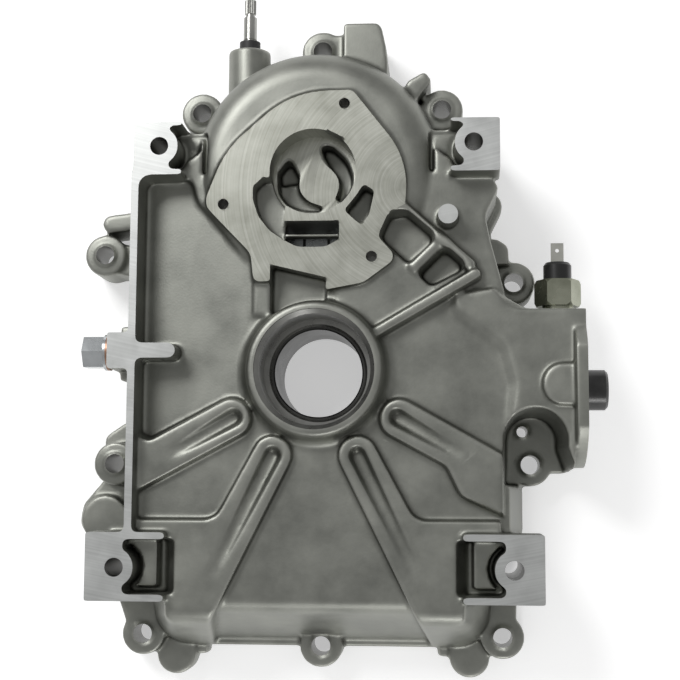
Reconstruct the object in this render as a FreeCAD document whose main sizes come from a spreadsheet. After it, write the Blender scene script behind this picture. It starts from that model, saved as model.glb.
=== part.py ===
import FreeCAD, Part
import math
import os
import Sketcher
from FreeCAD import Vector

# Crankcase cover of a vertical-shaft V-twin engine, with its governor, relief valve and fittings.
# Origin: crank axis on the gasket face. +Z points out of the engine, +Y towards the oil pump.

doc = FreeCAD.newDocument("crankcase_cover")
sheet = doc.addObject("Spreadsheet::Sheet", "sizes")

DRIVING = [
    # levels above the gasket face
    ("pad_level", 65.0), ("hub_level", 63.2), ("filter_rim_level", 62.5), ("bar_level", 60.0),
    ("pump_level", 57.0), ("raised_level", 57.0), ("shelf_level", 55.0), ("platform_level", 55.0),
    ("deck_level", 52.5), ("window_level", 47.5), ("roof_wall", 5.0), ("side_wall", 5.0),
    ("flange_level", 11.0), ("flange_lip", 3.5), ("low_ear_level", 17.0), ("side_ear_level", 24.5),
    ("top_ear_level", 34.0), ("left_ear_level", 38.0), ("pad_depth", 20.0), ("foot_level", 12.5),
    # outer wall
    ("left_wall_x", 86.0), ("right_wall_x", 87.0), ("bottom_wall_y", 125.5), ("lower_wall_x", 80.0), ("corner_foot", 85.7), ("raised_corner", 82.6),
    ("corner_radius", 19.0), ("lower_lean", 22.0), ("raised_lean", 18.0), ("raised_foot", 3.4),
    ("shoulder_radius", 8.0), ("dome_radius", 59.0), ("dome_x", -1.0), ("dome_y", 94.5),
    ("dome_shoulder", 15.0), ("dome_level", 55.7),
    # ears with their bolt holes
    ("ear_hole", 4.5), ("ear_radius", 10.2), ("upper_ear_x", 58.2), ("upper_ear_y", 127.7),
    ("top_ear_x", 0.6), ("top_ear_y", 157.7), ("left_ear_x", 107.0), ("left_ear_y", 59.7),
    ("left_low_ear_x", 96.7), ("left_low_ear_y", 42.6), ("right_ear_x", 92.3), ("right_ear_y", 44.7),
    ("right_low_ear_x", 99.7), ("right_low_ear_y", 42.1), ("low_ear_x", 86.1), ("low_ear_y", 123.4),
    ("middle_ear_y", 128.2), ("recess_x", 100.2), ("recess_y", 31.5), ("recess_radius", 12.2),
    # mounting pads, four holes on one circle
    ("mount_circle", 127.0), ("upper_angle", 35.0), ("lower_angle", 45.0), ("mount_hole", 4.25),
    ("pad_boss", 8.8), ("arm_width", 3.2), ("hollow_floor", 47.0), ("island_level", 56.0),
    ("lower_pad_out", 13.4), ("lower_pad_up", 15.8), ("lower_pad_down", 15.1), ("lower_arm_reach", 22.9),
    ("lower_hollow_end", 21.5), ("lower_hollow_start", 3.7), ("upper_pad_out", 12.0),
    ("upper_pad_up", 11.4), ("upper_pad_down", 13.6), ("upper_pad_reach", 7.8),
    ("upper_arm_reach", 10.9), ("upper_arm_width", 1.8), ("upper_hollow_start", 4.4),
    ("upper_hollow_end", 20.6), ("upper_hollow_low", 11.0), ("island_radius", 11.5), ("hollow_roll", 4.5),
    # rib and drain
    ("rib_width", 3.4), ("drain_y", 8.5), ("drain_z", 54.0), ("drain_boss_reach", 9.8),
    ("drain_boss_width", 16.6), ("drain_thread", 7.0), ("drain_arm_reach", 22.0),
    ("drain_hex", 14.0), ("drain_head", 9.8), ("drain_flange", 8.4), ("drain_flange_thick", 1.2),
    ("drain_washer_thick", 1.2), ("drain_thread_length", 10.0),
    # hub, seal seat and main bush
    ("hub_radius", 31.5), ("hub_root", 34.5), ("seal_seat", 25.6), ("seal_mouth", 2.0),
    ("seal_ledge", 41.0), ("bush_bore", 20.64), ("bush_wall", 1.5), ("bush_top", 40.0),
    ("inner_hub", 29.0),
    # oil pump pocket
    ("pump_shaft_y", 89.5), ("rotor_x", -1.8), ("rotor_y", 93.1), ("rotor_radius", 20.2),
    ("rotor_floor", 40.0), ("kidney_depth", 4.5), ("pump_bore", 6.2), ("pump_collar", 9.0), ("pump_block", 29.0),
    ("pump_block_level", 23.0), ("pump_screw_circle", 42.6), ("pump_screw_hole", 2.55),
    ("pump_screw_x", -1.7), ("pump_screw_y", 85.2), ("pump_screw_depth", 14.0),
    # raised tongues with their grooves
    ("tongue_half", 8.6), ("groove_half", 4.4), ("groove_depth", 4.2), ("outer_tongue_angle", 30.0),
    ("inner_tongue_angle", 63.5), ("outer_tongue_start", 44.5), ("inner_tongue_start", 43.5),
    ("outer_groove_length", 35.0), ("inner_groove_length", 63.0),
    # filter side
    ("filter_y", -7.4), ("filter_z", 31.0), ("filter_face_x", 123.5), ("filter_rim", 36.5),
    ("rim_thick", 5.2), ("rim_box_y", 19.0), ("nipple_radius", 9.5), ("nipple_bore", 5.5), ("nipple_reach", 11.5),
    ("nipple_seat", 14.0), ("gallery_bore", 3.5), ("gallery_tube", 8.0),
    ("platform_top_y", 28.5), ("platform_low_y", -46.0), ("switch_x", 112.5), ("switch_z", 33.0),
    ("switch_hex", 19.0), ("switch_hex_height", 12.4), ("switch_neck", 7.3),
    ("switch_thread", 5.0), ("switch_thread_length", 9.0), ("insulator_radius", 6.6),
    ("insulator_height", 8.6), ("blade_width", 6.0), ("blade_height", 9.6), ("blade_thick", 0.8),
    # relief valve
    ("relief_x", 100.0), ("relief_y", 13.0), ("relief_bore", 5.5), ("relief_depth", 38.0),
    ("relief_gap", 0.05), ("relief_plunger", 11.0), ("relief_travel", 4.0), ("relief_cap", 5.0),
    # governor cross shaft
    ("cross_x", -36.4), ("cross_z", 26.0), ("cross_radius", 3.3), ("cross_boss", 10.3),
    ("cross_boss_end", 160.5), ("cross_tip_y", 187.0), ("cross_inner_y", 67.0),
    ("cross_gap", 0.05), ("cross_bush_wall", 1.7), ("cross_bush_length", 9.0), ("cross_seal", 5.1),
    ("cross_seal_height", 5.0), ("cross_groove", 0.35), ("cross_tip_radius", 2.85), ("cross_tip_length", 7.0),
    # governor on its stub shaft
    ("governor_x", -60.4), ("governor_y", 73.0), ("stub_radius", 3.5), ("stub_end", 16.0),
    ("gear_top", 38.0), ("gear_thick", 8.0), ("gear_tip", 16.0), ("gear_tooth", 2.3),
    ("gear_teeth", 30.0), ("pin_reach", 10.0), ("pin_level", 26.0), ("pin_radius", 1.5),
    ("toe_reach", 4.6), ("weight_drop", 9.0), ("weight_thick", 2.4),
    ("weight_width", 8.0), ("sleeve_flange", 7.0), ("sleeve_radius", 4.8), ("sleeve_top", 24.7),
    ("sleeve_end", 12.3), ("lever_thick", 3.0), ("lever_width", 8.0), ("lever_gap", 0.3),
    # oil strainer below the pump inlet
    ("strainer_level", 16.0), ("strainer_thick", 2.0), ("strainer_screw", 2.0), ("strainer_head", 3.6),
    # fits
    ("running_gap", 0.05), ("washer_thick", 1.0), ("clip_thick", 0.8), ("rest_gap", 0.3),
]

for row, (alias, value) in enumerate(DRIVING, 1):
    sheet.set(f"A{row}", alias.replace("_", " "))
    sheet.set(f"B{row}", str(value))
    sheet.setAlias(f"B{row}", alias)
doc.recompute()


def mm(alias):
    """A driving dimension from the sheet."""
    return float(sheet.get(alias))


# Outlines and basic solids

UP = Vector(0, 0, 1)


def corner_arc(before, corner, after, radius):
    """Start, middle and end of the arc that rounds one corner."""
    to_before = (before - corner).normalize()
    to_after = (after - corner).normalize()
    half = to_before.getAngle(to_after) / 2
    bisector = (to_before + to_after).normalize()
    reach = radius / math.tan(half)
    middle = corner + bisector * (radius / math.sin(half) - radius)
    return corner + to_before * reach, middle, corner + to_after * reach


def outline(corners, level):
    """A closed wire through (x, y, radius) corners, each rounded by its radius."""
    points = [Vector(x, y, level) for x, y, _ in corners]
    count = len(points)
    edges, joints = [], []
    for i, (_, _, radius) in enumerate(corners):
        if radius > 0:
            start, middle, end = corner_arc(points[i - 1], points[i], points[(i + 1) % count], radius)
            joints.append((start, end))
            edges.append((i, Part.Arc(start, middle, end).toShape()))
        else:
            joints.append((points[i], points[i]))
    lines = []
    for i in range(count):
        start, end = joints[i][1], joints[(i + 1) % count][0]
        if start.distanceToPoint(end) > 1e-4:
            lines.append(Part.makeLine(start, end))
    return Part.Wire(Part.__sortEdges__([edge for _, edge in edges] + lines))


def moved_out(corners, distance):
    """The same corners with every side moved out, corners listed anticlockwise."""
    count = len(corners)
    result = []
    for i, (x, y, radius) in enumerate(corners):
        ax, ay, _ = corners[i - 1]
        bx, by, _ = corners[(i + 1) % count]
        into = Vector(x - ax, y - ay, 0).normalize()
        away = Vector(bx - x, by - y, 0).normalize()
        turn = into.x * away.y - into.y * away.x
        spread = (Vector(into.y, -into.x, 0) + Vector(away.y, -away.x, 0))
        spread = spread * (distance / (1 + into.dot(away)))
        if radius > 0:
            radius = max(radius + (distance if turn > 0 else -distance), 0.3)
        result.append((x + spread.x, y + spread.y, radius))
    return result


def prism(corners, low, high):
    """Straight-sided block over an outline."""
    return Part.Face(outline(corners, low)).extrude(Vector(0, 0, high - low))


def drafted(corners, low, high, draft):
    """Block whose outline is true at the top and grows downwards by the draft in degrees."""
    grow = (high - low) * math.tan(math.radians(draft))
    return Part.makeLoft([outline(moved_out(corners, grow), low), outline(corners, high)], True, True)


def tub(corners, low, high, draft):
    """Cutting block whose outline is true at the floor and grows upwards."""
    grow = (high - low) * math.tan(math.radians(draft))
    return Part.makeLoft([outline(corners, low), outline(moved_out(corners, grow), high)], True, True)


def box(x0, x1, y0, y1, z0, z1):
    return Part.makeBox(x1 - x0, y1 - y0, z1 - z0, Vector(x0, y0, z0))


def post(x, y, radius, low, high):
    return Part.makeCylinder(radius, high - low, Vector(x, y, low))


def bar_between(start, end, half_width, low, high):
    """Upright web between two plan points, with round ends."""
    ax, ay = start
    bx, by = end
    length = math.hypot(bx - ax, by - ay)
    web = Part.makeBox(length, 2 * half_width, high - low, Vector(0, -half_width, low))
    web.rotate(Vector(0, 0, 0), UP, math.degrees(math.atan2(by - ay, bx - ax)))
    web.translate(Vector(ax, ay, 0))
    return web.fuse([post(ax, ay, half_width, low, high), post(bx, by, half_width, low, high)])


def corner_fill(x, y, toward_x, toward_y, radius, low, high):
    """Upright concave fillet in the corner at (x, y), which opens towards the given signs."""
    far_x, far_y = x + toward_x * radius, y + toward_y * radius
    x0, x1 = sorted((x, far_x))
    y0, y1 = sorted((y, far_y))
    return box(x0, x1, y0, y1, low, high).cut(post(far_x, far_y, radius, low - 1, high + 1))


def lathe(profile, x, y):
    """Solid of revolution about an upright axis from (radius, level) points."""
    points = [Vector(radius, 0, level) for radius, level in profile]
    face = Part.Face(Part.makePolygon(points + points[:1]))
    solid = face.revolve(Vector(0, 0, 0), UP, 360)
    solid.translate(Vector(x, y, 0))
    return solid


def edges_at(solid, level, keep=lambda edge: True):
    """Edges that lie flat at a level."""
    flat = [e for e in solid.Edges if abs(e.BoundBox.ZMin - level) < 1e-3
            and abs(e.BoundBox.ZMax - level) < 1e-3]
    return [e for e in flat if keep(e)]


def soften(solid, radius, edges):
    return solid.makeFillet(radius, edges)


def mirrored(corners):
    """The outline seen across the Y axis, still anticlockwise."""
    return [(-x, y, radius) for x, y, radius in reversed(corners)]


# Outer wall of the casting

def mount_holes():
    """Plan places of the four mounting holes: upper left, upper right, lower left, lower right."""
    circle = mm("mount_circle")
    upper, lower = math.radians(mm("upper_angle")), math.radians(mm("lower_angle"))
    ux, uy = circle * math.sin(upper), circle * math.cos(upper)
    lx, ly = circle * math.sin(lower), -circle * math.cos(lower)
    return [(-ux, uy), (ux, uy), (-lx, ly), (lx, ly)]


def wall_corners():
    """Plan of the main wall, anticlockwise from the lower left."""
    left, right = mm("left_wall_x"), mm("right_wall_x")
    low, bottom, corner = mm("lower_wall_x"), -mm("bottom_wall_y"), mm("corner_radius")
    return [(-low, bottom, corner), (low, bottom, corner), (low, -78, 6), (right, -68, 6), (right, 36, 6),
            (80.6, 60.5, 8), (78.2, 72.4, 8), (85.4, 86.8, 4), (62, 100, 4), (50, 108, 0), (-50, 108, 0),
            (-62, 100, 4), (-left, 88, 3), (-left, -68, 3), (-low, -78, 3)]


def lower_shoulder(level, foot, lean):
    """Space under a level that rolls over into the leaning lower wall, which stands at the foot."""
    radius, start = mm("shoulder_radius"), mm("flange_level")
    centre_z = level - radius
    slope = math.radians(lean)
    centre_y = foot + (radius + (centre_z - start) * math.sin(slope)) / math.cos(slope)

    def on_roll(degrees):
        turn = math.radians(degrees)
        return Vector(0, centre_y + radius * math.cos(turn), centre_z + radius * math.sin(turn))
    back = mm("dome_y") + mm("dome_radius")
    corners = [on_roll(90), Vector(0, back, level), Vector(0, back, 0), Vector(0, foot, 0),
               Vector(0, foot, start), on_roll(180 - lean)]
    path = [Part.makeLine(a, b) for a, b in zip(corners, corners[1:])]
    path.append(Part.Arc(on_roll(180 - lean), on_roll(135 - lean / 2), on_roll(90)).toShape())
    return across(Part.Wire(path))


def leaning_space(foot, lean, top):
    """Space behind the inner side of the leaning lower wall."""
    start, back = mm("flange_level"), mm("dome_y") + mm("dome_radius")
    run = (top - start) * math.tan(math.radians(lean))
    corners = [Vector(0, foot, -1), Vector(0, foot, start), Vector(0, foot + run, top),
               Vector(0, back, top), Vector(0, back, -1)]
    return across(Part.makePolygon(corners + corners[:1]))


def corner_space(foot_y, foot_x, lean, inset):
    """Space between the sloping lower corners. Under the flange level and above the pads it is open."""
    start, top = mm("flange_level"), mm("pad_level")
    step = mount_holes()[2][1] - mm("lower_pad_down") + inset
    slope = math.radians(lean)
    run = (top - start) * math.tan(slope) + inset / math.cos(slope)
    half, low = foot_x - run, run - foot_y
    plan = [(-half, low, 0.8), (half, low, 0.8), (half, step + 9, 0), (-half, step + 9, 0)]
    reach = 3 * mm("dome_radius")
    return drafted(plan, start, top, lean).fuse([box(-reach, reach, step, reach, -2, top + 1),
                                                 box(-reach, reach, -reach, reach, -2, start)])


def across(wire):
    """A side view drawn out over the whole width of the cover."""
    reach = 3 * mm("dome_radius")
    space = Part.Face(wire).extrude(Vector(2 * reach, 0, 0))
    space.translate(Vector(-reach, 0, 0))
    return space


def outer_shell():
    """Main wall with its rounded lower shoulder, and the domed wall round the pump."""
    deck = mm("deck_level")
    main = prism(wall_corners(), 0, deck)
    main = main.common(lower_shoulder(deck, -mm("bottom_wall_y"), mm("lower_lean")))
    main = main.common(corner_space(mm("bottom_wall_y"), mm("corner_foot"), mm("lower_lean"), 0))
    right, low = mm("right_wall_x"), mount_holes()[3][1] + mm("lower_pad_up") - 2
    side = drafted([(right - 7, low, 0), (right + 1.5, low, 3), (right + 1.5, low + 24, 3), (right - 7, low + 24, 0)],
                   0, deck, 9)
    dome = post(mm("dome_x"), mm("dome_y"), mm("dome_radius"), 0, mm("dome_level"))
    dome = soften(dome, mm("dome_shoulder"), edges_at(dome, mm("dome_level")))
    return main.fuse([dome, side])


def flange():
    """Lip round the gasket face."""
    lip = mm("flange_lip")
    main = prism(moved_out(wall_corners(), lip), 0, mm("flange_level"))
    ring = post(mm("dome_x"), mm("dome_y"), mm("dome_radius") + lip, 0, mm("flange_level"))
    return main.fuse(ring)


# Each ear: hole x, hole y, top level, and the plan point of the wall that its web runs to.
def ears():
    low, side = mm("low_ear_level"), mm("side_ear_level")
    top, left = mm("top_ear_level"), mm("left_ear_level")
    upper_x, upper_y = mm("upper_ear_x"), mm("upper_ear_y")
    low_x, low_y = mm("low_ear_x"), -mm("low_ear_y")
    return [(-upper_x, upper_y, top, (-40, 115)), (mm("top_ear_x"), mm("top_ear_y"), top, (0, 130)),
            (upper_x, upper_y, top, (40, 115)), (-mm("left_ear_x"), mm("left_ear_y"), side, (-84, 55)),
            (-mm("left_low_ear_x"), -mm("left_low_ear_y"), left, (-80, -42)),
            (mm("right_ear_x"), mm("right_ear_y"), side, (76, 40)),
            (mm("right_low_ear_x"), -mm("right_low_ear_y"), low, (82, -42)),
            (-low_x, low_y, low, (-70, -112)), (0, -mm("middle_ear_y"), low, (0, -112)),
            (low_x, low_y, low, (70, -112))]


def ear_solids():
    radius = mm("ear_radius")
    parts = []
    for x, y, top, root in ears():
        parts.append(post(x, y, radius, 0, top))
        parts.append(bar_between((x, y), root, radius - 2.5, 0, top - 2))
    return parts + lifting_block() + side_horns() + left_plate() + feet()


def lifting_block():
    """Block beside the top ear that a hoist grips."""
    x, y, top = mm("top_ear_x"), mm("top_ear_y"), mm("top_ear_level")
    plate = [(x - 7, y - 18, 0), (x + 11, y - 18, 0), (x + 11, y + 8.5, 0), (x - 5, y + 8.5, 0)]
    block = [(x + 10.4, y - 20, 0), (x + 32.4, y - 20, 0), (x + 31.2, y - 1, 8), (x + 28.4, y + 12.3, 4),
             (x + 10.4, y + 12.3, 1.5)]
    return [drafted(plate, 0, top, 1), prism(block, 0, top + 6)]


def side_horns():
    """Horns of the wall beside the upper right ear and above the right ear."""
    x, y, top = mm("upper_ear_x"), mm("upper_ear_y"), mm("top_ear_level")
    upper = [(x - 22, y - 4, 0), (x - 11.7, y - 3.7, 0), (x - 11.5, y + 4, 5), (x - 4.7, y + 12.6, 1.5),
             (x - 8, y + 17.2, 2), (x - 16.6, y + 12.4, 6)]
    x, y, side = mm("right_ear_x"), mm("right_ear_y"), mm("side_ear_level")
    right = [(x - 14, y + 8, 0), (x - 2.2, y + 8, 1), (x - 2.8, y + 17, 3), (x - 7, y + 20, 2), (x - 14, y + 21.5, 0)]
    return [prism(upper, 0, top + 8), prism(right, 0, side + 6)]


def left_plate():
    """Low plate that joins the left lower ear to the lobe under it, and the ear's rib above."""
    x, y, low = -mm("left_low_ear_x"), -mm("left_low_ear_y"), mm("low_ear_level")
    plate = [(x + 12.7, y + 24.6, 0), (x - 0.8, y + 20.1, 3), (x - 10.3, y + 13.6, 5), (x - 10.3, y - 7.4, 0),
             (x - 20.3, y - 19.4, 6), (x - 21.8, y - 28.4, 6), (x - 16.3, y - 37.4, 5), (x + 1.7, y - 43.4, 0),
             (x + 12.7, y - 43.4, 0)]
    lobe = (x - 8.8, y - 26.4)
    side_x, side_y = -mm("left_ear_x"), mm("left_ear_y")
    return [prism(plate, 0, low), post(*lobe, 11.5, 0, low + 2.5), bar_between(lobe, (-84, -60), 9, 0, low + 0.5),
            bar_between((side_x + 2.5, side_y + 15.8), (-84, 78), 4.4, 0, mm("side_ear_level"))]


def feet():
    """Blind feet and small tabs between the lower ears, and the webs up to the pads."""
    foot, reach, low = mm("foot_level"), mm("low_ear_y") + 10.0, mm("low_ear_level")
    ear_x, ear_y = mm("low_ear_x"), -mm("low_ear_y")
    parts = []
    for side in (-1, 1):
        x0, x1 = sorted((side * (ear_x - 30), side * (ear_x - 7.1)))
        parts += [post(side * (ear_x - 15.6), -reach, 9.5, 0, foot), box(x0, x1, -reach, -118, 0, foot - 2)]
        x0, x1 = sorted((side * (ear_x - 30.8), side * (ear_x - 25.7)))
        parts.append(box(x0, x1, -reach + 0.5, -118, 0, foot - 4.5))
    for x, side in ((-ear_x - 7.0, -1), (-ear_x - 0.5, -1), (ear_x + 0.5, 1)):
        parts.append(bar_between((side * ear_x, ear_y), (x, ear_y + 20), 6.3, 0, low))
    return parts


# Mounting pads, left rib and drain boss

def beside(x, y, side, corners):
    """Corners measured from a hole, the first coordinate towards the deck, as plan corners."""
    placed = [(x + side * away, y + up, radius) for away, up, radius in corners]
    return placed if side > 0 else placed[::-1]


def pad_hollow(x, y, side, room, island, roll):
    """Open room beside a pad's boss, with a cast block left in it and a rolled edge on the deck side.

    Room and island are the near end, far end, lower edge and upper edge, measured from the hole.
    """
    floor, above, raised = mm("hollow_floor"), mm("pad_level") + 1, mm("raised_level")
    start, end, low_edge, high_edge = room
    tool = prism(beside(x, y, side, [(start, low_edge, 2.2), (end, low_edge, 0.6), (end, high_edge, 0.6),
                                     (start, high_edge, 2.2)]), floor, above)
    if roll:
        edge = [(end - 2, floor + 1), (end, floor + 1), (end + roll, raised + 0.3), (end + roll, above),
                (end - 2, above)]
        points = [Vector(x + side * away, y + low_edge, level) for away, level in edge]
        face = Part.Face(Part.makePolygon(points + points[:1]))
        tool = tool.fuse(face.extrude(Vector(0, high_edge - low_edge, 0)))
    boss = post(x, y, mm("pad_boss"), floor - 1, above + 1)
    start, end, low_edge, high_edge = island
    block = prism(beside(x, y, side, [(start, low_edge, 1), (end, low_edge, 1), (end, high_edge, 1),
                                      (start, high_edge, 1)]), floor - 1, mm("island_level"))
    return tool.cut([boss, block.cut(post(x, y, mm("island_radius"), floor - 2, above))])


def pad_solids():
    """Four pads with their legs: a square corner, a boss at the hole and arms towards the deck."""
    top, arm, island_gap = mm("pad_level"), mm("arm_width"), 3.6
    low, flange = top - mm("pad_depth"), mm("flange_level")
    top_left, top_right, lower_left, lower_right = mount_holes()
    blocks, hollows = [], []

    def pad(hole, side, out, down, up, reach, arms, room, island, roll):
        corners = beside(*hole, side, [(-out, -down, 0), (reach, -down, 0), (reach, up, 0), (-out, up, 0)])
        base = [(1 - out, 1 - down, 0), (room[1], 1 - down, 0), (room[1], up - 1, 0), (1 - out, up - 1, 0)]
        blocks.append(drafted(corners, low, top, 1))
        blocks.append(prism(beside(*hole, side, base), flange, mm("hollow_floor") + 0.5))
        blocks.append(post(*hole, mm("pad_boss"), low, top))
        for edge, width, length in arms:
            bar = [(0, edge, 0), (length, edge, 0.49 * width), (length, edge + width, 0.49 * width),
                   (0, edge + width, 0)]
            blocks.append(prism(beside(*hole, side, bar), low, top))
        hollows.append(pad_hollow(*hole, side, room, island, roll))

    out, up, down = mm("lower_pad_out"), mm("lower_pad_up"), mm("lower_pad_down")
    reach, start, end = mm("lower_arm_reach"), mm("lower_hollow_start"), mm("lower_hollow_end")
    arms = [(up - arm, arm, reach), (-down, arm, reach)]
    room = (start, end, arm - down, up - arm)
    island = (start, end - island_gap, -9, up - arm - 1.1)
    for hole, side in ((lower_left, 1), (lower_right, -1)):
        pad(hole, side, out, down, up, end - 0.5, arms, room, island, mm("hollow_roll"))
    out, up, down = mm("upper_pad_out"), mm("upper_pad_up"), mm("upper_pad_down")
    narrow, arm_reach = mm("upper_arm_width"), mm("upper_arm_reach")
    start, end, low_edge = mm("upper_hollow_start"), mm("upper_hollow_end"), mm("upper_hollow_low")
    arms = [(up - narrow, narrow, arm_reach), (-down, down - low_edge, arm_reach)]
    room = (start, end, -low_edge, up - narrow)
    island = (start, end - 2.2, -low_edge - 0.5, 7)
    for hole, side in ((top_left, 1), (top_right, -1)):
        pad(hole, side, out, down, up, mm("upper_pad_reach"), arms, room, island, 0)
    return blocks, hollows


def rib_solids():
    """Tall rib along the left wall, the drain boss and its arm, with fillets where they meet."""
    top, left, width = mm("pad_level"), -mm("left_wall_x") + 0.4, mm("rib_width")
    drain_y, half, arm_half = mm("drain_y"), mm("drain_boss_width") / 2, 3.5
    low = mm("window_level") - mm("roof_wall")
    (_, upper_y), _, (_, lower_y), _ = mount_holes()
    upper_y, lower_y = upper_y - mm("upper_pad_down"), lower_y + mm("lower_pad_up")
    right = left + width
    rib = drafted([(left, lower_y - 2, 0), (right, lower_y - 2, 0), (right, upper_y + 2, 0), (left, upper_y + 2, 0)],
                  low, top, 1.5)
    boss = box(left - mm("drain_boss_reach"), right, drain_y - half, drain_y + half, 30, top)
    arm_end = left + mm("drain_arm_reach")
    arm = prism([(left, drain_y - arm_half, 0), (arm_end, drain_y - arm_half, 3.4),
                 (arm_end, drain_y + arm_half, 3.4), (left, drain_y + arm_half, 0)], low, top)
    block = box(left - 7, left + 2, drain_y - half - 4.5, drain_y + half + 4.5, 0, 50)
    fills = [corner_fill(left, lower_y, -1, 1, 2.2, low, top), corner_fill(right, lower_y, 1, 1, 2.2, low, top),
             corner_fill(right, upper_y, 1, -1, 5.5, low, top),
             corner_fill(right, drain_y - arm_half, 1, -1, 2.5, low, top),
             corner_fill(right, drain_y + arm_half, 1, 1, 2.5, low, top)]
    return [rib, boss, arm, block] + fills


# Deck forms

def tongue_end(angle, start):
    """Corner outline of a tongue's rounded inner end and the direction it runs in."""
    direction = Vector(-math.cos(math.radians(angle)), -math.sin(math.radians(angle)), 0)
    return direction * start, direction, Vector(-direction.y, direction.x, 0)


def tongue_outline(angle, start, reach):
    centre, along, across = tongue_end(angle, start)
    half = mm("tongue_half")
    tip = centre - along * half
    near_left, near_right = tip - across * half, tip + across * half
    far_left, far_right = centre + along * reach - across * half, centre + along * reach + across * half
    round_end = half * 0.98
    return near_left, near_right, far_right, far_left, round_end


def raised_regions():
    """Left raised regions: one round the outer tongue, one round the inner tongue and the corner."""
    left = mm("left_wall_x") - 2
    a, b, _, _, r = tongue_outline(mm("outer_tongue_angle"), mm("outer_tongue_start"), 50)
    outer = [(-left, -56.2, 0), (b.x, b.y, r), (a.x, a.y, r), (-76.5, -32.6, 4), (-left, -30, 0)]
    a, b, _, _, r = tongue_outline(mm("inner_tongue_angle"), mm("inner_tongue_start"), 50)
    low, wall = -mm("bottom_wall_y") - mm("raised_foot") - 2, mm("lower_wall_x") + 0.4
    edge = b.x - (b.y - low) / math.tan(math.radians(mm("inner_tongue_angle")))
    inner = [(-wall, low, 0), (edge, low, 0), (b.x, b.y, r), (a.x, a.y, r),
             (-45.5, -68.3, 9), (-left, -68.3, 0), (-left, -76, 0), (-wall, -80, 0)]
    return outer, inner


def raised_solids():
    """Raised regions of both sides. The lower ones roll over and run down the wall to the flange."""
    top, low = mm("raised_level"), mm("window_level") - 4
    outer, inner = raised_regions()
    right = mm("right_wall_x")
    tip = mirrored(outer)[2:4]
    outer_right = [(right, -66, 0), (right, -39.5, 0)] + tip + [(60, -43.5, 5), (66.5, -57, 8)]
    foot = mm("raised_foot")
    roll = lower_shoulder(top, -mm("bottom_wall_y") - foot, mm("raised_lean"))
    bound = prism(moved_out(wall_corners(), foot), 0, top)
    bound = bound.common(corner_space(mm("bottom_wall_y") + foot, mm("raised_corner"), mm("raised_lean"), 0))
    parts = [drafted(corners, low, top, 12) for corners in (outer, outer_right)]
    for corners in (inner, mirrored(inner)):
        parts.append(drafted(corners, mm("flange_level") - 1, top, 2).common(roll).common(bound))
    return parts


def groove(side, angle, start, length):
    """Tapered groove in a tongue: deep at the round inner end and run out at the outer end."""
    half, depth = mm("groove_half"), mm("groove_depth")
    above = 3.0
    slope = math.degrees(math.atan2(depth, length))

    def slot(half_width, level):
        return [(-half_width, -half_width, half_width * 0.98), (length, -half_width, 0),
                (length, half_width, 0), (-half_width, half_width, half_width * 0.98)], level
    floor, low = slot(half - 2.0, -depth)
    mouth, high = slot(half + 1.4, above)
    cutter = Part.makeLoft([outline(floor, low), outline(mouth, high)], True, True)
    cutter.rotate(Vector(0, 0, 0), Vector(0, 1, 0), -slope)
    heading = 180 + angle if side < 0 else -angle
    cutter.rotate(Vector(0, 0, 0), UP, heading)
    x = side * start * math.cos(math.radians(angle))
    y = -start * math.sin(math.radians(angle))
    cutter.translate(Vector(x, y, mm("raised_level")))
    return cutter


def hub_solid():
    """Boss round the crank, from the gasket face to the seal rim."""
    hub, root, level = mm("hub_radius"), mm("hub_root"), mm("hub_level")
    deck = mm("deck_level")
    outer = lathe([(0, deck - 6), (root + 1.5, deck - 6), (root + 1.5, deck), (root, deck + 0.8),
                   (hub + 1, deck + 3.5), (hub, level - 1), (hub - 1, level), (0, level)], 0, 0)
    inner = post(0, 0, mm("inner_hub"), 0, deck)
    return outer.fuse(inner)


def hub_bore():
    """Seal seat with its mouth chamfer, the ledge and the bush bore."""
    seat, mouth = mm("seal_seat"), mm("seal_mouth")
    level, ledge = mm("hub_level"), mm("seal_ledge")
    bush = mm("bush_bore") + mm("bush_wall")
    return lathe([(0, -1), (bush, -1), (bush, ledge - 1), (bush + 1, ledge), (seat, ledge),
                  (seat, level - mouth), (seat + mouth, level), (seat + mouth, level + 5), (0, level + 5)],
                 0, 0)


# Oil pump side

def pump_face_corners():
    """Machined face round the pump pocket, anticlockwise from its lower left."""
    return [(-29, 41, 3), (-20.5, 41.5, 0), (-20.9, 48.4, 0), (4.8, 42.6, 0), (4.2, 37.2, 0),
            (22, 40.5, 12), (37.5, 52, 4), (28.6, 62, 3), (34.6, 74.3, 2), (41, 74.5, 1.5),
            (42.8, 98, 40), (16.5, 131.8, 5), (-12, 131.5, 45), (-43, 104, 45), (-53, 78, 7),
            (-30.5, 54.5, 8)]


def pump_boss():
    return drafted(pump_face_corners(), mm("window_level") - 4, mm("pump_level"), 8)


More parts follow.
